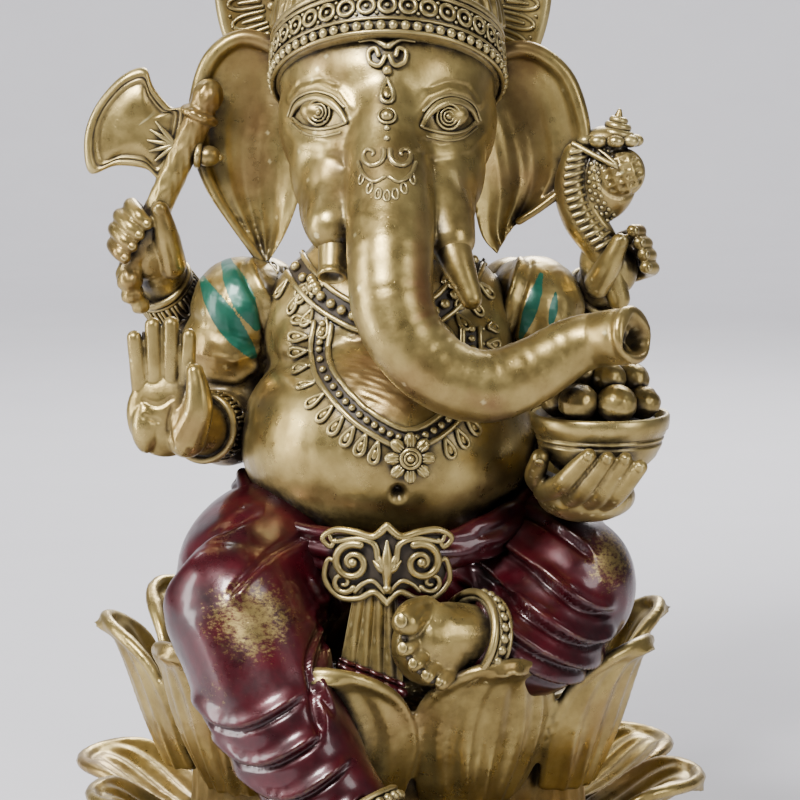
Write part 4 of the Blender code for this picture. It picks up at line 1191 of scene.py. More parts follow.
def make_trousers():
    """Red cloth over the hips and both legs as one skin."""
    shells = [ball((0, -5, 60), (31, 26, 20), 28, 44), ball((0, -1, 68), (29, 21, 14), 24, 40),
              tube([(-17, -4, 61), (-24, -24, 62), (-27.5, -42, 57)], [17, 16.5, 13.5], 36, 10),
              ball((-27.5, -42, 57), (13.6, 13.2, 14), 24, 32),
              tube([(-27.5, -42, 57), (-21, -49, 42), (-13, -55, 30), (-6, -58, 23)],
                   [13.5, 12.6, 10.4, 7.8], 32, 10),
              tube([(17, -4, 60), (28, -17, 62), (34.5, -27, 60)], [17, 15.5, 13.5], 36, 10),
              ball((34.5, -27, 60), (13.5, 13, 14), 24, 32),
              tube([(34.5, -27, 60), (28, -37, 51), (18.5, -41.6, 51)], [13, 10.5, 8.5], 32, 10)]
    cloth = clay("draped_trousers", shells, 0.55, 18, LACQUER, ("hips", "right_leg", "left_leg"))
    sculpt(cloth, trouser_relief)

    def rubbed(places, normals):
        """The bare gold of the knees and other high places."""
        out = np.zeros(len(places))
        for (x, z), (wide, tall), weight in KNEE_RUBS:
            reach = ((places[:, 0] - x) / wide) ** 2 + ((places[:, 2] - z) / tall) ** 2
            out = np.maximum(out, weight * np.exp(-reach))
        return out * step(-normals[:, 1], -0.2, 0.3)
    mark(cloth, "rub", rubbed)
    return cloth


def make_waist():
    """Three overlapping rolls of red cloth round the hips, dipping under the belly."""
    parts = []
    t = np.linspace(0, 2 * math.pi, 97)[:-1]
    for shift, reach, thick, phase in ((-2.3, 28.0, 2.1, 0.0), (0.1, 28.9, 2.0, 1.5),
                                       (2.4, 28.2, 1.7, 3.1)):
        sway = 0.55 * np.sin(5 * t + phase)
        roll = np.stack([(reach + 0.5 * sway) * np.sin(t), -12 - (reach + 0.5 * sway) * np.cos(t),
                         68 + 9 * (1 - np.cos(t)) * np.where(np.cos(t) > 0, 1, 0.55) + shift + sway], -1)
        parts.append(wire(roll, thick + 0.25 * np.sin(7 * t + phase), 16, closed=True))
    sash = clay("waist_rolls", parts, 0.42, 2, LACQUER, ("waist_sash",))
    sculpt(sash, lambda p, n: 0.12 * np.sin(9 * np.arctan2(p[:, 0], -p[:, 1] - 12) + 1.9 * p[:, 2]))


def spiral(x, z, start, turns, large, small, hand):
    """Points of a scroll in the front view, from its outer end to its eye."""
    a = np.linspace(0, turns * 2 * math.pi, 30)
    reach = large + (small - large) * a / a[-1]
    return np.column_stack([x + reach * np.cos(start + hand * a), z + reach * np.sin(start + hand * a)])


def make_buckle():
    """A peaked plate with two large volutes, a central leaf and curled ends."""
    x0, _, z0 = centre("belt_buckle")
    front = box("belt_buckle")[0][1] + 1.7

    def lay(path, lift=0.0):
        """A path measured from the middle of the plate, laid on its bowed front."""
        path = np.asarray(path, float)
        return np.column_stack([x0 + path[:, 0], front - lift + 0.018 * path[:, 0] ** 2, z0 + path[:, 1]])
    half = [(0, 7.2), (3.6, 6.0), (7.6, 6.2), (12.0, 5.6), (10.8, 2.0), (12.2, -2.0), (9.4, -5.4),
            (5.0, -4.6), (1.8, -6.2)]
    outline = 0.9 * spline(half + [(-x, z) for x, z in half[:0:-1]], 6, closed=True)
    shares = np.linspace(0.05, 1, 10)
    face_sheet = [lay(outline * share) for share in shares]
    back_sheet = [lay(outline * share, -1.6) for share in shares[::-1]]
    shell = grid(np.array(face_sheet + back_sheet), close_columns=True, caps=True)
    # The plate is a dark sheet behind the scrolls: painted shade.
    make("buckle_shade_plate", [shell], PAINTED_SHADE)
    # Each line: its path on the right half, how far it stands out, its root and end radii and its sides.
    arch = spline([(0, 7.6), (2.6, 5.6), (6.0, 6.4), (9.6, 6.6), (12.0, 5.0), (10.6, 3.4), (9.6, 4.6)], 6)
    skirt = spline([(0, -7.0), (2.4, -4.9), (5.4, -6.2), (9.0, -6.0), (11.6, -3.0), (11.0, 0.8),
                    (9.2, 0.4)], 6)
    volute = spiral(6.4, 0.6, math.pi * 0.62, 1.45, 3.7, 0.8, -1)
    low_curl = spiral(8.2, -3.2, math.pi * 1.15, 1.2, 2.1, 0.5, 1)
    top = spline([(1.6, 1.0), (2.4, 4.2), (5.6, 5.2), (9.8, 4.4), (10.8, 5.6)], 5)
    stem = spline([(0.5, -4.8), (2.6, -2.8), (4.6, -3.4), (6.0, -4.8)], 5)
    lines = [(arch, 0.5, 0.8, 0.5, 10), (skirt, 0.4, 0.7, 0.5, 10), (volute, 0.7, 0.85, 0.55, 10),
             (low_curl, 0.5, 0.62, 0.4, 8), (top, 0.6, 0.75, 0.4, 8), (stem, 0.5, 0.5, 0.5, 8)]
    parts = []
    for side in (-1, 1):
        for path, lift, start, end, around in lines:
            parts.append(wire(lay(path * (side, 1.0), lift), np.linspace(start, end, len(path)), around))
        parts.append(ball(lay([(6.4 * side, 0.6)], 0.8)[0], 0.95, 8, 12))
        for lean, reach in ((0.55, 3.4), (1.0, 2.9)):
            tip = lay([(side * reach * math.sin(lean), -0.8 + reach * math.cos(lean) * 1.15)], 0.7)[0]
            root = lay([(0, -1.6)], 0.7)[0]
            parts.append(tube([root, (root + tip) / 2 + (0, -0.3, 0), tip], [0.35, 0.8, 0.3], 10, 4))
    parts.append(tube(lay([(0, -4.6), (0, 0.5), (0, 4.8)], 0.9), [0.45, 1.15, 0.3], 12, 6))
    parts.append(ball(lay([(0, -4.2)], 0.8)[0], 0.9, 8, 12))
    make("scroll_buckle", parts, BRASS, ("belt_buckle",))


def make_front_sash():
    """The pleated end of the sash hanging between the legs, with a red slanting hem."""
    (left, front, foot), (right, _, top) = box("front_sash")
    front += 1.0
    u, v = np.linspace(-1, 1, 72)[None], np.linspace(0, 1, 40)[:, None]
    middle = (left + right) / 2
    half = (right - left) / 2 * (0.62 + 0.36 * v)
    pleat = 0.75 * np.abs(np.sin(4.5 * u * math.pi / 2 + 0.6 * v)) * (0.5 + 0.5 * v)
    drop = (top - foot) * (0.86 + 0.12 * u)

    def cloth(depth):
        return np.stack([middle + half * u - 0.8 * v, depth + 0 * v, top - drop * v + 0 * u], -1)
    sheet = cloth(front + 0.8 - pleat)
    make("pleated_sash", [slab(sheet, cloth(front + 2.6 + 0 * u))], BRASS, ("front_sash",))
    hem = [wire(sheet[row] + (0, -0.2, 0), thick, 10) for row, thick in ((-1, 0.85), (-4, 0.5))]
    make("sash_hem", hem, LACQUER, ())


def foot_with_toes(name, node, shells, toes, nails, outward):
    """A foot and its toes as one skin, parted by grooves with a dark line of painted shade down each."""
    foot = clay(name, shells + [tube(points, radii, 16, 5) for points, radii in toes], 0.34, 3, BRASS,
                (node,))
    between = [(np.array(a) + np.array(b)) / 2 for (a, _), (b, _) in zip(toes, toes[1:])]

    def parted(places, normals):
        """A dip between the ends of neighbouring toes."""
        push = 0.05 * lumps(places, 5, 31)
        for path in between:
            push -= 0.9 * np.exp(-(np.linalg.norm(places - path[-1], axis=1) / 1.3) ** 2)
        return push
    sculpt(foot, parted)
    make(name + "_nails", nails, BRASS)
    # Dark bars of painted shade down the grooves between the toes.
    lines = [tube(path + np.array(outward), [0.5, 0.62, 0.5], 8, 4) for path in between]
    make(name + "_gap_shade", lines, PAINTED_SHADE)


def make_left_foot():
    """The raised foot, its sole towards the right and its toes down the front."""
    shells = [tube([(19, -42, 52), (12, -46, 54), (8, -48, 54)], [6.6, 6.4, 6.2], 24, 6),
              ball((8.4, -48.3, 53), (7.6, 5.4, 8.0), 20, 28, 25)]
    toes, nails = [], []
    for end, radius in (((3.6, -54.0, 58.2), 3.1), ((3.6, -54.6, 53.4), 2.2), ((5.4, -55.0, 50.6), 2.0),
                        ((7.6, -54.8, 48.4), 1.85), ((10.0, -54.0, 46.9), 1.7)):
        end = np.array(end)
        root = end + np.array([3.4, 6.5, 0.6])
        toes.append(([root, (root + end) / 2 + (-0.5, -0.6, 0.5), end],
                     [radius * 1.05, radius, radius * 0.92]))
        out, down = unit(np.array([-0.3, -0.9, 0.3])), unit(np.array([0.1, -0.3, -0.95]))
        nails.append(ball_on(end + np.array([-0.35, -0.92, 0.35]) * radius, out, down,
                             (0.42 * radius, 0.5 * radius, 0.14 * radius)))
    foot_with_toes("left_foot_and_toes", "left_foot", shells, toes, nails, (-0.5, -1.25, 0.0))


def make_right_foot():
    """The lower foot, flat, its five toes in an arc to the front."""
    shells = [tube([(-6, -58, 23), (-1, -61, 17.4), (3, -65, 14)], [7.0, 5.6, 4.4], 24, 6),
              ball((2.4, -64.6, 13.6), (5.8, 5.6, 3.6), 18, 26)]
    toes, nails = [], []
    out, down = unit(np.array([0, -0.55, 0.83])), unit(np.array([0, -0.83, -0.55]))
    for k in range(5):
        radius = 1.75 - 0.16 * k
        end = np.array([5.6 - 2.2 * k, -69.2 + 0.32 * k * k, 12.2])
        root = end + np.array([-0.4 + 0.25 * k, 4.6, 1.2])
        toes.append(([root, (root + end) / 2 + (0, 0, 0.6), end], [radius * 1.05, radius, radius * 0.95]))
        nails.append(ball_on(end + np.array([0, -0.55, 0.8]) * radius, out, down,
                             (0.5 * radius, 0.5 * radius, 0.16 * radius)))
    foot_with_toes("right_foot_and_toes", "right_foot", shells, toes, nails, (0, -0.6, 0.9))


# ---------------------------------------------------------------- lotus
# Turn, lean and curl are degrees.
PETAL_RINGS = {
    "upper": {"turn": 24, "foot": 44.3, "height": 19, "length": 32.5, "lean": 11, "curl": 13,
              "half": 14.4},
    "lower": {"turn": 8, "foot": 43.6, "height": 4.4, "length": 23.4, "lean": 45, "curl": 17,
              "half": 13.6}}
PETALS = 10


def leaf_sheet(shape, v, u, depth):
    """One petal: v runs from foot to tip and u from edge to edge."""
    angle = np.radians(shape["lean"] + shape["curl"] * v ** 3)
    belly = 0.74 + 0.27 * np.sin(math.pi * np.clip(v * 0.86, 0, 1))
    half = shape["half"] * belly * np.sqrt(1 - np.clip(v, 0, 1) ** 3.2)
    lip = 1.5 * step(np.maximum(np.abs(u) * (0.55 + 0.45 * v), v), 0.86, 1.0) * step(v, 0.3, 0.6)
    off_sides, off_lip = step(1 - np.abs(u), 0.08, 0.3), step(1 - v, 0.06, 0.25)
    ribs = 0.42 * np.cos(6 * math.pi * u * (1 - 0.18 * v)) * off_sides * off_lip
    ribs = ribs + 0.14 * np.cos(19 * math.pi * u) * step(1 - v, 0.1, 0.4) * step(1 - np.abs(u), 0.05, 0.2)
    peak = 0.9 * np.exp(-(u / 0.16) ** 2) * v ** 8
    cup = 2.4 * np.sin(math.pi * np.clip(v, 0, 1)) - 3.6 * u ** 2 * (1 - 0.3 * v)
    inward = cup + lip + ribs - depth
    outward = shape["foot"] + shape["length"] * v * np.sin(angle) + inward * np.cos(angle)
    height = shape["height"] + (shape["length"] * v + peak) * np.cos(angle) - inward * np.sin(angle)
    return outward, half * u / shape["foot"], height


def make_petals(ring_name):
    """Ten broad petals with rolled lips and fanned ribs, overlapping round the drum."""
    shape = PETAL_RINGS[ring_name]
    v, u = np.linspace(0, 1, 72)[:, None], np.linspace(-1, 1, 72)[None]
    shells = []
    edge_u = np.concatenate([np.full(40, -1.0), np.full(40, 1.0)])
    edge_v = np.concatenate([np.linspace(0.05, 0.999, 40), np.linspace(0.999, 0.05, 40)])
    for k in range(PETALS):
        middle = math.radians(shape["turn"]) + 2 * math.pi * k / PETALS
        stand = 0.9 if k % 2 else -0.5

        def placed(v, u, depth):
            outward, spread, height = leaf_sheet(shape, v, u, depth - stand)
            a = middle + spread
            return np.stack([outward * np.sin(a), -outward * np.cos(a), height + 0 * a], -1)
        shells.append(slab(placed(v, u, 0.0), placed(v, u, 2.0)))
        edge = placed(edge_v, edge_u, 0.7)
        shells.append(wire(edge, 1.0 + 0.35 * step(edge_v, 0.4, 0.9), 10))
    clay(ring_name + "_petals", shells, 0.6, 2, BRASS, (ring_name + "_petal_ring",))


# From one ring of seeds to the next.
SEED_GAP = 3.6


def make_base():
    """The drum, the seed-pod seat and the felt foot."""
    foot, top, radius = round_box("lotus_drum")
    profile = [(0.5, foot + 0.5), (radius - 5, foot + 0.5), (radius - 4.5, foot),
               (radius - 0.6, foot), (radius, foot + 1), (radius, foot + 3),
               (radius - 1.8, foot + 4), (radius - 2.6, (foot + top) / 2), (radius - 1.4, top - 3),
               (radius - 1.0, top), (0.5, top)]
    u = np.linspace(0, 2 * math.pi, 240, endpoint=False)
    points, faces = turned(profile, 240)
    flute = 1 - 0.008 * np.abs(np.sin(np.tile(u, len(points) // 240) * 20))
    points[:, :2] *= flute[:, None]
    make("fluted_drum", [(points, faces)], DARKER_BRASS, ("lotus_drum",))
    foot, top, radius = round_box("lotus_seat")
    rim = [(0.5, foot), (radius - 0.6, foot), (radius, foot + 0.6), (radius, top - 1.2),
           (radius - 0.4, top - 0.3), (radius - 1.2, top), (radius - 2.4, top - 0.5),
           (0.5, top - 0.5)]
    shells = [turned(rim, 180)]
    for k in range(3, 12):
        count = 6 * k
        for i in range(count):
            a = 2 * math.pi * (i + 0.5 * (k % 2)) / count
            seed = (k * SEED_GAP * math.sin(a), k * SEED_GAP * math.cos(a), top - 0.75)
            shells.append(ball(seed, (1.35, 1.35, 0.75), 6, 10))
    make("seed_pod_seat", shells, DARKER_BRASS, ("lotus_seat",))
    _, top, radius = round_box("felt_pad")
    pad = [(0.5, 0), (radius - 0.3, 0), (radius, 0.3), (radius, top - 0.3), (radius - 0.3, top),
           (0.5, top)]
    make("felt_foot_pad", [turned(pad, 120)], FELT_CLOTH, ("felt_pad",))


# ---------------------------------------------------------------- hands
def nail(end, way, out, radius):
    """A small nail plate on a finger end: way is along the finger and out is towards the viewer."""
    way = unit(np.asarray(way, float))
    out = np.asarray(out, float)
    out = unit(out - way * (out @ way))
    return ball_on(np.asarray(end) + out * radius * 0.86, out, way,
                   (0.58 * radius, 0.72 * radius, 0.22 * radius))


def hand(name, node, palm, fingers, view_side, creases=()):
    """A palm with fingers as one skin, and nails on the fingers whose backs show."""
    shells = list(palm) + [tube(points, radii, 18, 6) for points, radii in fingers]
    skin_piece = clay(name, shells, 0.27, 2, BRASS, (node,))

    def lined(places, normals):
        """The lines of the palm."""
        push = 0.05 * lumps(places, 4, 41)
        for path, depth in creases:
            push += ridge(places, normals, spline(path, 5), 0.42, -depth)
        return push
    sculpt(skin_piece, lined)
    if view_side is not None:
        nails = []
        for points, radii in fingers:
            end, way = np.array(points[-1], float), unit(np.array(points[-1], float) - points[-2])
            nails.append(nail(end + way * radii[-1] * 0.25, way, view_side, radii[-1]))
        make(name + "_nails", nails, BRASS)


def make_open_palm():
    """The raised right hand: four straight fingers and a thumb, with the lines of the palm."""
    x, z = centre("front_right_hand")[[0, 2]] + (-1.4, -5.0)
    y = -26.8
    fingers = []
    for dx, tip, radius, lean in ((-5.5, 14.4, 1.65, -0.5), (-2.3, 16.8, 1.72, -0.2),
                                  (0.9, 17.0, 1.72, 0.1), (4.0, 14.8, 1.6, 0.4)):
        path = [(x + dx * 0.9, y + 1, z + 4), (x + dx, y - 0.4, z + 9.5),
                (x + dx + lean, y - 1.2, z + tip)]
        fingers.append((path, [1.9, radius, radius * 0.88]))
    thumb = [(x + 3.8, y - 1.0, z - 5), (x + 6.0, y - 2.6, z + 0.5), (x + 6.1, y - 3.0, z + 4.8),
             (x + 5.6, y - 2.8, z + 8)]
    fingers.append((thumb, [3.8, 3.0, 2.3, 1.7]))
    palm = [ball((x - 0.4, y + 0.8, z - 0.5), (7.5, 3.4, 8.4), 20, 28),
            ball((x + 3.8, y - 0.6, z - 3.2), (4.0, 3.2, 5.4), 16, 20),
            ball((x - 4.0, y - 0.2, z - 2.6), (3.0, 3.0, 5.4), 16, 20),
            tube([(-35.5, -17.5, 89), (-39, -22.5, 90)], [5.4, 5.2], 24, 6)]
    lines = [([(x - 5, z + 2.6), (x - 1.5, z + 1.4), (x + 1.8, z + 3.4)], 0.4),
             ([(x + 1.4, z + 2.2), (x + 0.4, z - 2.4), (x + 1.4, z - 7.2)], 0.45),
             ([(x - 4.6, z - 0.2), (x - 1, z - 1.8)], 0.3)]
    hand("open_palm", "front_right_hand", palm, fingers, None, lines)
    # Dark bars of painted shade between the fingers.
    gaps = [tube((np.array(a) + np.array(b)) / 2 + (0, 0.5, -0.4), [1.0, 0.75, 0.35], 8, 4)
            for (a, _), (b, _) in zip(fingers[:3], fingers[1:4])]
    make("open_palm_gap_shade", gaps, PAINTED_SHADE)


def make_axe_grip():
    """Four fingers closed round the axe handle, each from its knuckle to its end, and the thumb up it."""
    fingers = []
    for (kx, kz), (ex, ez) in (((-50.6, 131.2), (-47.2, 128.0)), ((-52.7, 129.2), (-48.8, 125.9)),
                               ((-53.7, 126.6), (-50.2, 123.6)), ((-54.0, 123.6), (-51.6, 121.4))):
        path = [(kx + 1.2, 1.5, kz - 1.6), (kx, -3.6, kz), ((kx + ex) / 2, -7.4, (kz + ez) / 2),
                (ex, -8.0, ez)]
        fingers.append((path, [1.5, 1.6, 1.55, 1.35]))
    fingers.append(([(-42.6, -3.0, 119.5), (-43.4, -5.8, 125), (-44.6, -6.8, 130.4)], [2.9, 2.5, 1.9]))
    palm = [ball((-46.8, -1.6, 122.4), (6.0, 4.4, 6.6), 20, 26, 20),
            tube([(-43.6, 6, 112.4), (-45.6, 1, 118)], [4.9, 4.8], 24, 6)]
    hand("axe_grip", "rear_right_hand", palm, fingers, np.array([0, -1, 0.2]))


def make_conch_grip():
    """Four short fingers folded outside the conch, with the thumb on its front."""
    fingers = []
    for ex, ez in ((48.1, 126.4), (49.4, 124.0), (50.3, 121.7), (50.8, 119.2)):
        path = [(ex - 1.5, 3.6, ez - 2.4), (ex + 1.0, 1.0, ez - 1.2), (ex + 1.5, -3.0, ez - 0.4),
                (ex, -5.6, ez)]
        fingers.append((path, [1.5, 1.55, 1.5, 1.3]))
    fingers.append(([(41.6, -2.8, 115.6), (43.6, -5.4, 119.8), (45.6, -6.2, 124.2)], [2.9, 2.5, 1.8]))
    palm = [ball((43.8, -0.4, 119.0), (5.8, 4.6, 6.6), 20, 26, -20),
            tube([(40.6, 6.4, 111.4), (42.6, 1.6, 116)], [4.9, 4.8], 24, 6)]
    hand("conch_grip", "rear_left_hand", palm, fingers, np.array([0.2, -1, 0.1]))


def make_bowl_palm():
    """The cupped hand under the bowl, its fingers curled up the front from root to end."""
    fingers = []
    for (bx, bz), (ex, ez) in (((32.6, 83.2), (37.0, 88.9)), ((36.4, 81.8), (40.4, 88.3)),
                               ((39.8, 81.2), (43.7, 88.2)), ((42.6, 81.0), (46.4, 86.8))):
        path = [(bx - 3.0, -38, bz - 3.0), (bx - 0.6, -46.0, bz - 0.6),
                ((bx + ex) / 2, -49.6, (bz + ez) / 2 + 0.2), (ex, -51.4, ez)]
        fingers.append((path, [2.3, 2.0, 1.75, 1.45]))
    fingers.append(([(31, -31, 79.5), (28.0, -39, 83), (28.4, -44.5, 87.5)], [2.8, 2.3, 1.7]))
    palm = [ball((37.6, -34.5, 78.6), (9.4, 9.0, 4.9), 20, 28),
            tube([(34.5, -19.5, 80), (36, -28, 79)], [5.2, 4.8], 24, 6)]
    hand("bowl_palm", "front_left_hand", palm, fingers, np.array([0, -1, 0.25]))


def band(name, node, foot, top, radius, width):
    """A sleeve with rims, and round it leaves on a bracelet or beads on an anklet."""
    leafy = "bracelet" in node
    foot, top = np.array(foot, float), np.array(top, float)
    axis = unit(top - foot)
    middle = (foot + top) / 2
    a, b = side_frame(axis)

    def at(angle, out, along):
        return middle + (radius + out) * (a * math.cos(angle) + b * math.sin(angle)) + axis * along
    u = np.linspace(0, 2 * math.pi, 72, endpoint=False)
    section = [(-0.7, -width / 2), (0.75, -width / 2), (1.0, 0), (0.75, width / 2), (-0.7, width / 2)]
    rows = np.array([[at(angle, out, along) for angle in u] for out, along in section])
    make(name + "_ground", [grid(rows, close_rows=True, close_columns=True)], DARKER_BRASS)
    parts = []
    for along, thick in ((-width / 2, 0.6), (width / 2, 0.75), (width / 2 - 1.3, 0.42)):
        parts.append(ring(middle + axis * along, axis, radius + 0.85, thick, 72, 10))
    count = 13 if leafy else int(2 * math.pi * (radius + 1) / 2.1)
    for k in range(count):
        angle = 2 * math.pi * k / count
        half = math.pi / count * 0.74
        if leafy:
            low, high = -width / 2 + 0.5, width / 2 - 1.9
            middle_height = (low + high) / 2
            leaf = [(-1, 1.15, high), (-1, 1.25, middle_height), (-0.6, 1.25, low + 0.35), (0, 1.2, low),
                    (0.6, 1.25, low + 0.35), (1, 1.25, middle_height), (1, 1.15, high)]
            parts.append(tube([at(angle + half * side, out, along) for side, out, along in leaf],
                              0.36, 8, 3))
            parts.append(tube([at(angle, 1.0, high), at(angle, 1.1, low + 1.1)], [0.5, 0.32], 8, 3))
        else:
            parts.append(ball(at(angle, 1.05, -0.2), 0.95, 8, 12))
    make(name, parts, BRASS, (node,))


# Each band: its node, the foot and top of its axis, its radius and its width.
BANDS = {
    "open_palm_bracelet": ("front_right_bracelet", (-33.5, -12, 88.6), (-36.2, -19, 89.3), 5.6, 5.5),
    "bowl_hand_bracelet": ("front_left_bracelet", (33.6, -13, 82.2), (35, -20.5, 79.8), 5.6, 5.5),
    "axe_hand_bracelet": ("rear_right_bracelet", (-42.3, 8, 110), (-45.6, 3.8, 115.4), 5.1, 6.2),
    "conch_hand_bracelet": ("rear_left_bracelet", (39.2, 8.4, 108.2), (42.4, 4.2, 113.6), 5.1, 6.2),
    "right_anklet_beads": ("right_anklet", (-5.9, -58.2, 23.6), (-3.9, -59.5, 20.6), 7.7, 3.6),
    "left_anklet_beads": ("left_anklet", (17.2, -42.8, 51.9), (14.4, -44.7, 53.1), 8.2, 3.6)}


# ---------------------------------------------------------------- axe, conch and bowl
# The outline of the axe blade from its inner top corner.
BLADE = [(-39.3, 149.4), (-42.6, 150.6), (-45.8, 154.4), (-47.6, 158.2), (-52.4, 156.4),
         (-57.4, 150.6), (-59.6, 144.2), (-58.6, 137.6), (-53.4, 139.0), (-47.6, 138.4),
         (-43.4, 136.2)]


def make_axe():
    """A knotted shaft, a crescent blade with raised borders and a side stud."""
    foot, top = np.array([-51.2, -3.6, 117.6]), np.array([-36.6, -4.0, 149.6])
    way = unit(top - foot)
    shaft = clay("axe_shaft", [tube([foot, (foot + top) / 2, top], [2.6, 2.75, 2.9], 28, 10),
                               ball(top + way * 3.0, (3.1, 3.1, 3.9), 16, 24, 24),
                               ball((-50.9, -4.6, 116.6), (2.7, 2.6, 2.5)),
                               ball((-50.4, -4.2, 113.6), (2.4, 2.3, 2.2)),
                               ball((-48.9, -3.8, 111.4), (1.9, 1.9, 1.8)),
                               ring(top - way * 0.8, way, 3.1, 0.95, 32, 10)],
                 0.34, 3, BRASS, ("axe_handle",))
    sculpt(shaft, lambda p, n: 0.2 * lumps(p, 2.6, 51) + 0.1 * lumps(p, 1.4, 52))
    outline = spline(BLADE, 8, closed=True)
    middle = outline.mean(0) + (0.8, 0)
    rows_out = [0.04, 0.35, 0.66, 0.7, 0.735, 0.77, 0.80, 0.835, 0.87, 0.9, 0.97, 1.0]
    depth = [1.0, 1.0, 0.95, 0.5, 0.5, 1.0, 1.0, 0.5, 1.45, 1.45, 1.2, 0.35]
    front, back = [], []
    for share, half in zip(rows_out, depth):
        flat = middle + (outline - middle) * share
        front.append(np.column_stack([flat[:, 0], np.full(len(flat), -3.7 - half), flat[:, 1]]))
        back.append(np.column_stack([flat[:, 0], np.full(len(flat), -3.7 + half), flat[:, 1]]))
    parts = [grid(np.array(front + back[::-1]), close_columns=True, caps=True)]
    neck = np.array([-41.6, -4.9, 143.2])
    for lean in (-0.75, -0.35, 0.05, 0.45, 0.8):
        tip = neck + (-5.4 * math.cos(lean), 0, 5.4 * math.sin(lean) + 0.6)
        parts.append(tube([neck, (neck + tip) / 2 + (0, -0.25, 0), tip], [0.55, 0.5, 0.2], 8, 4))
    make("axe_head", parts, BRASS, ("axe_blade",))
    place = np.array([-37.2, -4.2, 141.2])
    out = unit(np.array([1, 0, -0.12]))
    make("axe_side_stud", [ring(place, out, 2.0, 0.72, 28, 10),
                           ball(place + out * 1.9, (2.5, 2.1, 2.1), 14, 20),
                           ball(place + out * 4.0, (1.0, 0.8, 0.8), 8, 12)], BRASS, ("axe_stud",))


# The middle of the woven dome.
CONCH_DOME = (46.2, 137.6)


def make_conch():
    """A shell with a tiered spire, a leafy collar, a segmented back, a band of bumps and a woven dome."""
    tail = [(37.0, -1.4, 141), (36.2, -1.6, 135), (38.2, -1.8, 129), (42.4, -2, 122.6),
            (45.8, -2.4, 112.6)]
    shells = [ball((42.6, -0.4, 136), (6.8, 4.6, 8.4), 22, 30, 8),
              tube(tail, [2.6, 3.4, 4.0, 3.7, 2.3], 26, 8),
              ball((CONCH_DOME[0], -2.6, CONCH_DOME[1]), (4.6, 3.6, 4.9), 18, 26),
              ball((43.4, -0.5, 144.2), (4.8, 3.6, 2.6), 14, 22)]
    shell = clay("conch_body", shells, 0.34, 4, BRASS, ("conch",))
    edge = [(36.0, 143), (34.6, 138), (34.8, 132.6), (37.2, 127), (40.6, 122.6)]
    inner = [(40.6, 143), (38.8, 138), (39.2, 132.6), (41.6, 128), (45.4, 124.6)]

    def woven(places, normals):
        push = np.zeros(len(places))
        """The basket weave of the dome, the groove round it and the line beside the band of bumps."""
        across, rise = places[:, 0] - CONCH_DOME[0], places[:, 2] - CONCH_DOME[1]
        reach = np.hypot(across, rise)
        inside = step(4.4 - reach, 0, 0.4) * step(-normals[:, 1], 0.0, 0.3)
        along, cross = across + rise * 0.35, rise - across * 0.35
        push += 0.3 * inside * (np.maximum(np.cos(2 * math.pi * along / 2.1),
                                           np.cos(2 * math.pi * cross / 1.7)) - 0.4)
        push += ridge(places, normals, spline(inner, 6), 0.5, -0.6, 0.1, 0)
        push -= 0.6 * np.exp(-((reach - 4.8) / 0.4) ** 2) * step(-normals[:, 1], 0.0, 0.3)
        return push
    sculpt(shell, woven)
    tree = skin(shell)
    parts = []
    for (x0, z0), (x1, z1) in zip(evenly(spline(edge, 8), 15), evenly(spline(inner, 8), 15)):
        line = drape(tree, [(x0 + (x1 - x0) * t, z0 + (z1 - z0) * t + 0.7 * t)
                            for t in (0.12, 0.5, 0.86)], 0.15)
        parts.append(tube(line, [0.6, 0.5, 0.35], 8, 4))
    bumps = spline([(42.4, 142.2), (40.6, 138), (41.0, 133), (43.6, 129), (46.6, 127)], 8)
    for shift, count in ((-0.9, 12), (0.0, 13), (0.9, 12)):
        for x, z in evenly(beside(bumps, shift), count):
            parts.append(ball(on_front(tree, x, z, 0.1)[0], 0.46, 7, 9))
    for k in range(9):
        a = 2 * math.pi * k / 9
        place = (43.8 + 5.0 * math.cos(a), -0.5 + 3.9 * math.sin(a), 143.8)
        parts.append(ball(place, (1.8, 1.5, 1.3), 8, 12))
    for height, radius, thick in ((145.2, 2.6, 0.95), (146.6, 1.9, 0.85), (147.8, 1.2, 0.75)):
        place = (45.2 + 0.12 * (height - 145), -0.5, height)
        parts.append(ring(place, (0.2, 0, 1), radius, thick, 28, 10))
    spire = [(44.8, -0.5, 143.5), (45.2, -0.5, 147), (45.7, -0.5, 149.6)]
    parts.append(tube(spire, [2.6, 1.5, 0.5], 18, 5))
    make("conch_carving", parts, BRASS)


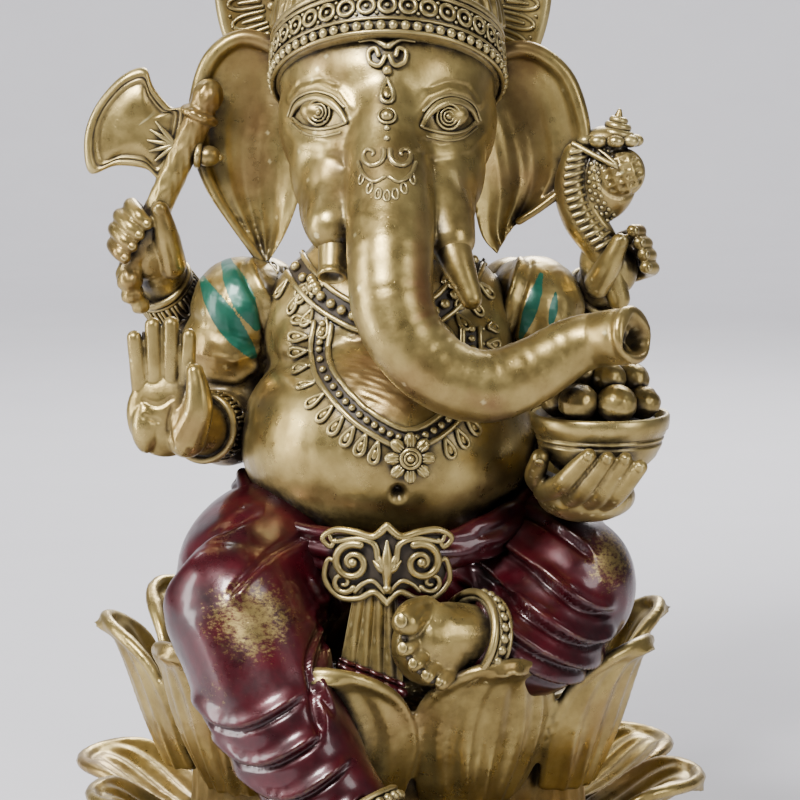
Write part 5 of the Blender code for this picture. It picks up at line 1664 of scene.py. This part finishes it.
def make_bowl():
    """A turned bowl with a heap of round sweets."""
    x, y, _ = centre("bowl")
    foot, _, radius = round_box("bowl")
    profile = [(0.5, 0), (4.8, 0), (5.2, 0.5), (8.2, 2.0), (10.6, 4.4), (11.75, 6.6), (11.85, 7.0),
               (11.6, 7.2), (11.65, 7.5), (12.05, 7.7), (12.2, 8.1), (11.95, 8.3), (12.0, 8.6),
               (12.4, 8.8), (12.6, 9.4), (13.0, 9.8), (13.2, 10.8), (13.25, 12.2), (12.9, 12.7),
               (12.2, 12.5), (11.6, 11.0), (9.0, 8.4), (0.5, 7.6)]
    scale = radius / 13.25
    make("offering_bowl", [turned([(r * scale, h) for r, h in profile], 144, (x, y, foot))], BRASS,
         ("bowl",))
    front = [(35.4, -45.2, 97.9, 3.75), (42.4, -45.6, 97.7, 3.8), (47.6, -41.8, 97.4, 3.3)]
    upper = [(36.2, -39.4, 102.9, 3.5), (41.2, -41.0, 101.9, 3.35), (45.8, -38.6, 101.3, 3.3),
             (40.4, -35.6, 104.0, 3.2)]
    behind = [(31.8, -39.6, 97.6, 3.4), (33.4, -33.6, 98.0, 3.5), (39.6, -30.4, 98.2, 3.5),
              (45.8, -33.6, 97.8, 3.5), (40, -37, 97.6, 4.2), (35.6, -34.2, 102.2, 3.2),
              (44.4, -33.8, 101.6, 3.0)]
    balls = [ball((bx, by, bz), (r, r, 0.94 * r), 44, 60, 6 * i)
             for i, (bx, by, bz, r) in enumerate(front + upper + behind)]
    sweets = make("round_sweets", balls, BRASS, ("sweets",))
    sculpt(sweets, lambda places, normals: 0.16 * lumps(places, 2.4, 61) + 0.07 * lumps(places, 1.2, 62))
    make("sweets_shadow", [turned([(0.5, 0), (11.4, 0), (10.6, 0.7), (0.5, 1.4)], 60,
                                  (x, y, foot + 10.6))], PAINTED_SHADE)


# ---------------------------------------------------------------- build
head = make_head()
face = skin(head)
for side, (x, z, inward) in EYES.items():
    make_eye(side + "_eye", face, x, z, inward)
    make_ear(side)
make_ornament(face)
make_jewel(face)
make_tusks()
make_brim()
make_crown()
make_halo()
torso = make_torso()
chest = skin(torso)
necklace("collar_of_beads", chest, COLLAR, "neck_collar", drops=20, skip=BEHIND_TRUNK)
behind_flower = (*centre("flower_pendant")[[0, 2]], 6.4)
necklace("long_bead_chain", chest, LONG_CHAIN, "long_necklace", drops=24, half=1.6,
         skip=behind_flower)
make_pendant(chest)
for side in SHAWLS:
    make_shawl(side)
for name in ARMS:
    make_arm(name)
make_trousers()
make_waist()
make_buckle()
make_front_sash()
make_left_foot()
make_right_foot()
for ring_name in PETAL_RINGS:
    make_petals(ring_name)
make_base()
make_open_palm()
make_axe_grip()
make_conch_grip()
make_bowl_palm()
for band_name, band_shape in BANDS.items():
    band(band_name, *band_shape)
make_axe()
make_conch()
make_bowl()


# ---------------------------------------------------------------- stage, light and camera
def make_floor():
    """A plain pale sweep: the floor, a round bend and the wall behind."""
    near, far, bend, tall, half_width = -2600, 1300, 500, 2600, 3000
    profile = [(near, 0), (far, 0)]
    profile += [(far + bend * math.sin(a), bend - bend * math.cos(a))
                for a in np.radians(range(10, 91, 10))]
    profile.append((far + bend, tall))
    rows = np.array([[(x, y, z - 0.02) for x in (-half_width, half_width)] for y, z in profile])
    floor = put("floor", mesh_of("floor", *grid(rows)))
    floor.data.materials.append(finish_material("pale_paper", paper_shader))


def make_light(name, place, aim, size, watts):
    """A soft rectangular lamp, not seen by the camera."""
    light = bpy.data.lights.new(name, "AREA")
    light.shape = "RECTANGLE"
    light.size, light.size_y = size[0] * MM, size[1] * MM
    light.energy = watts
    lamp = put(name, light)
    lamp.location = Vector(place) * MM
    lamp.rotation_mode = "QUATERNION"
    lamp.rotation_quaternion = (Vector(aim) - Vector(place)).to_track_quat("-Z", "Y")
    lamp.visible_camera = False


def make_stage():
    """The floor, the lamps and the even light all round."""
    make_floor()
    make_light("key", (-240, -420, 560), (0, -10, 110), (180, 180), 9.5)
    make_light("fill", (480, -420, 300), (0, -10, 100), (220, 340), 1.7)
    make_light("strip", (-520, -120, 180), (0, 0, 110), (90, 480), 3.0)
    make_light("back", (120, 620, 520), (0, 0, 100), (300, 300), 6.0)
    make_light("wall", (0, 1000, 1500), (0, 1800, 300), (2400, 500), 48)
    world = bpy.data.worlds.new("studio")
    world.use_nodes = True
    world.node_tree.nodes["Background"].inputs["Color"].default_value = (0.62, 0.63, 0.67, 1)
    world.node_tree.nodes["Background"].inputs["Strength"].default_value = 0.18
    bpy.context.scene.world = world


def make_camera():
    """Eight degrees above the horizon, straight in front."""
    aim = Vector((2.4, 0, 92)) * MM
    distance, rise = 600 * MM, math.radians(8)
    data = bpy.data.cameras.new("camera")
    data.lens, data.sensor_width = 135, 36
    data.clip_start = 0.01
    camera = put("camera", data)
    back = Vector((0, -math.cos(rise), math.sin(rise)))
    camera.location = aim + back * distance
    camera.rotation_mode = "QUATERNION"
    camera.rotation_quaternion = (-back).to_track_quat("-Z", "Y")
    bpy.context.scene.camera = camera


make_stage()
make_camera()
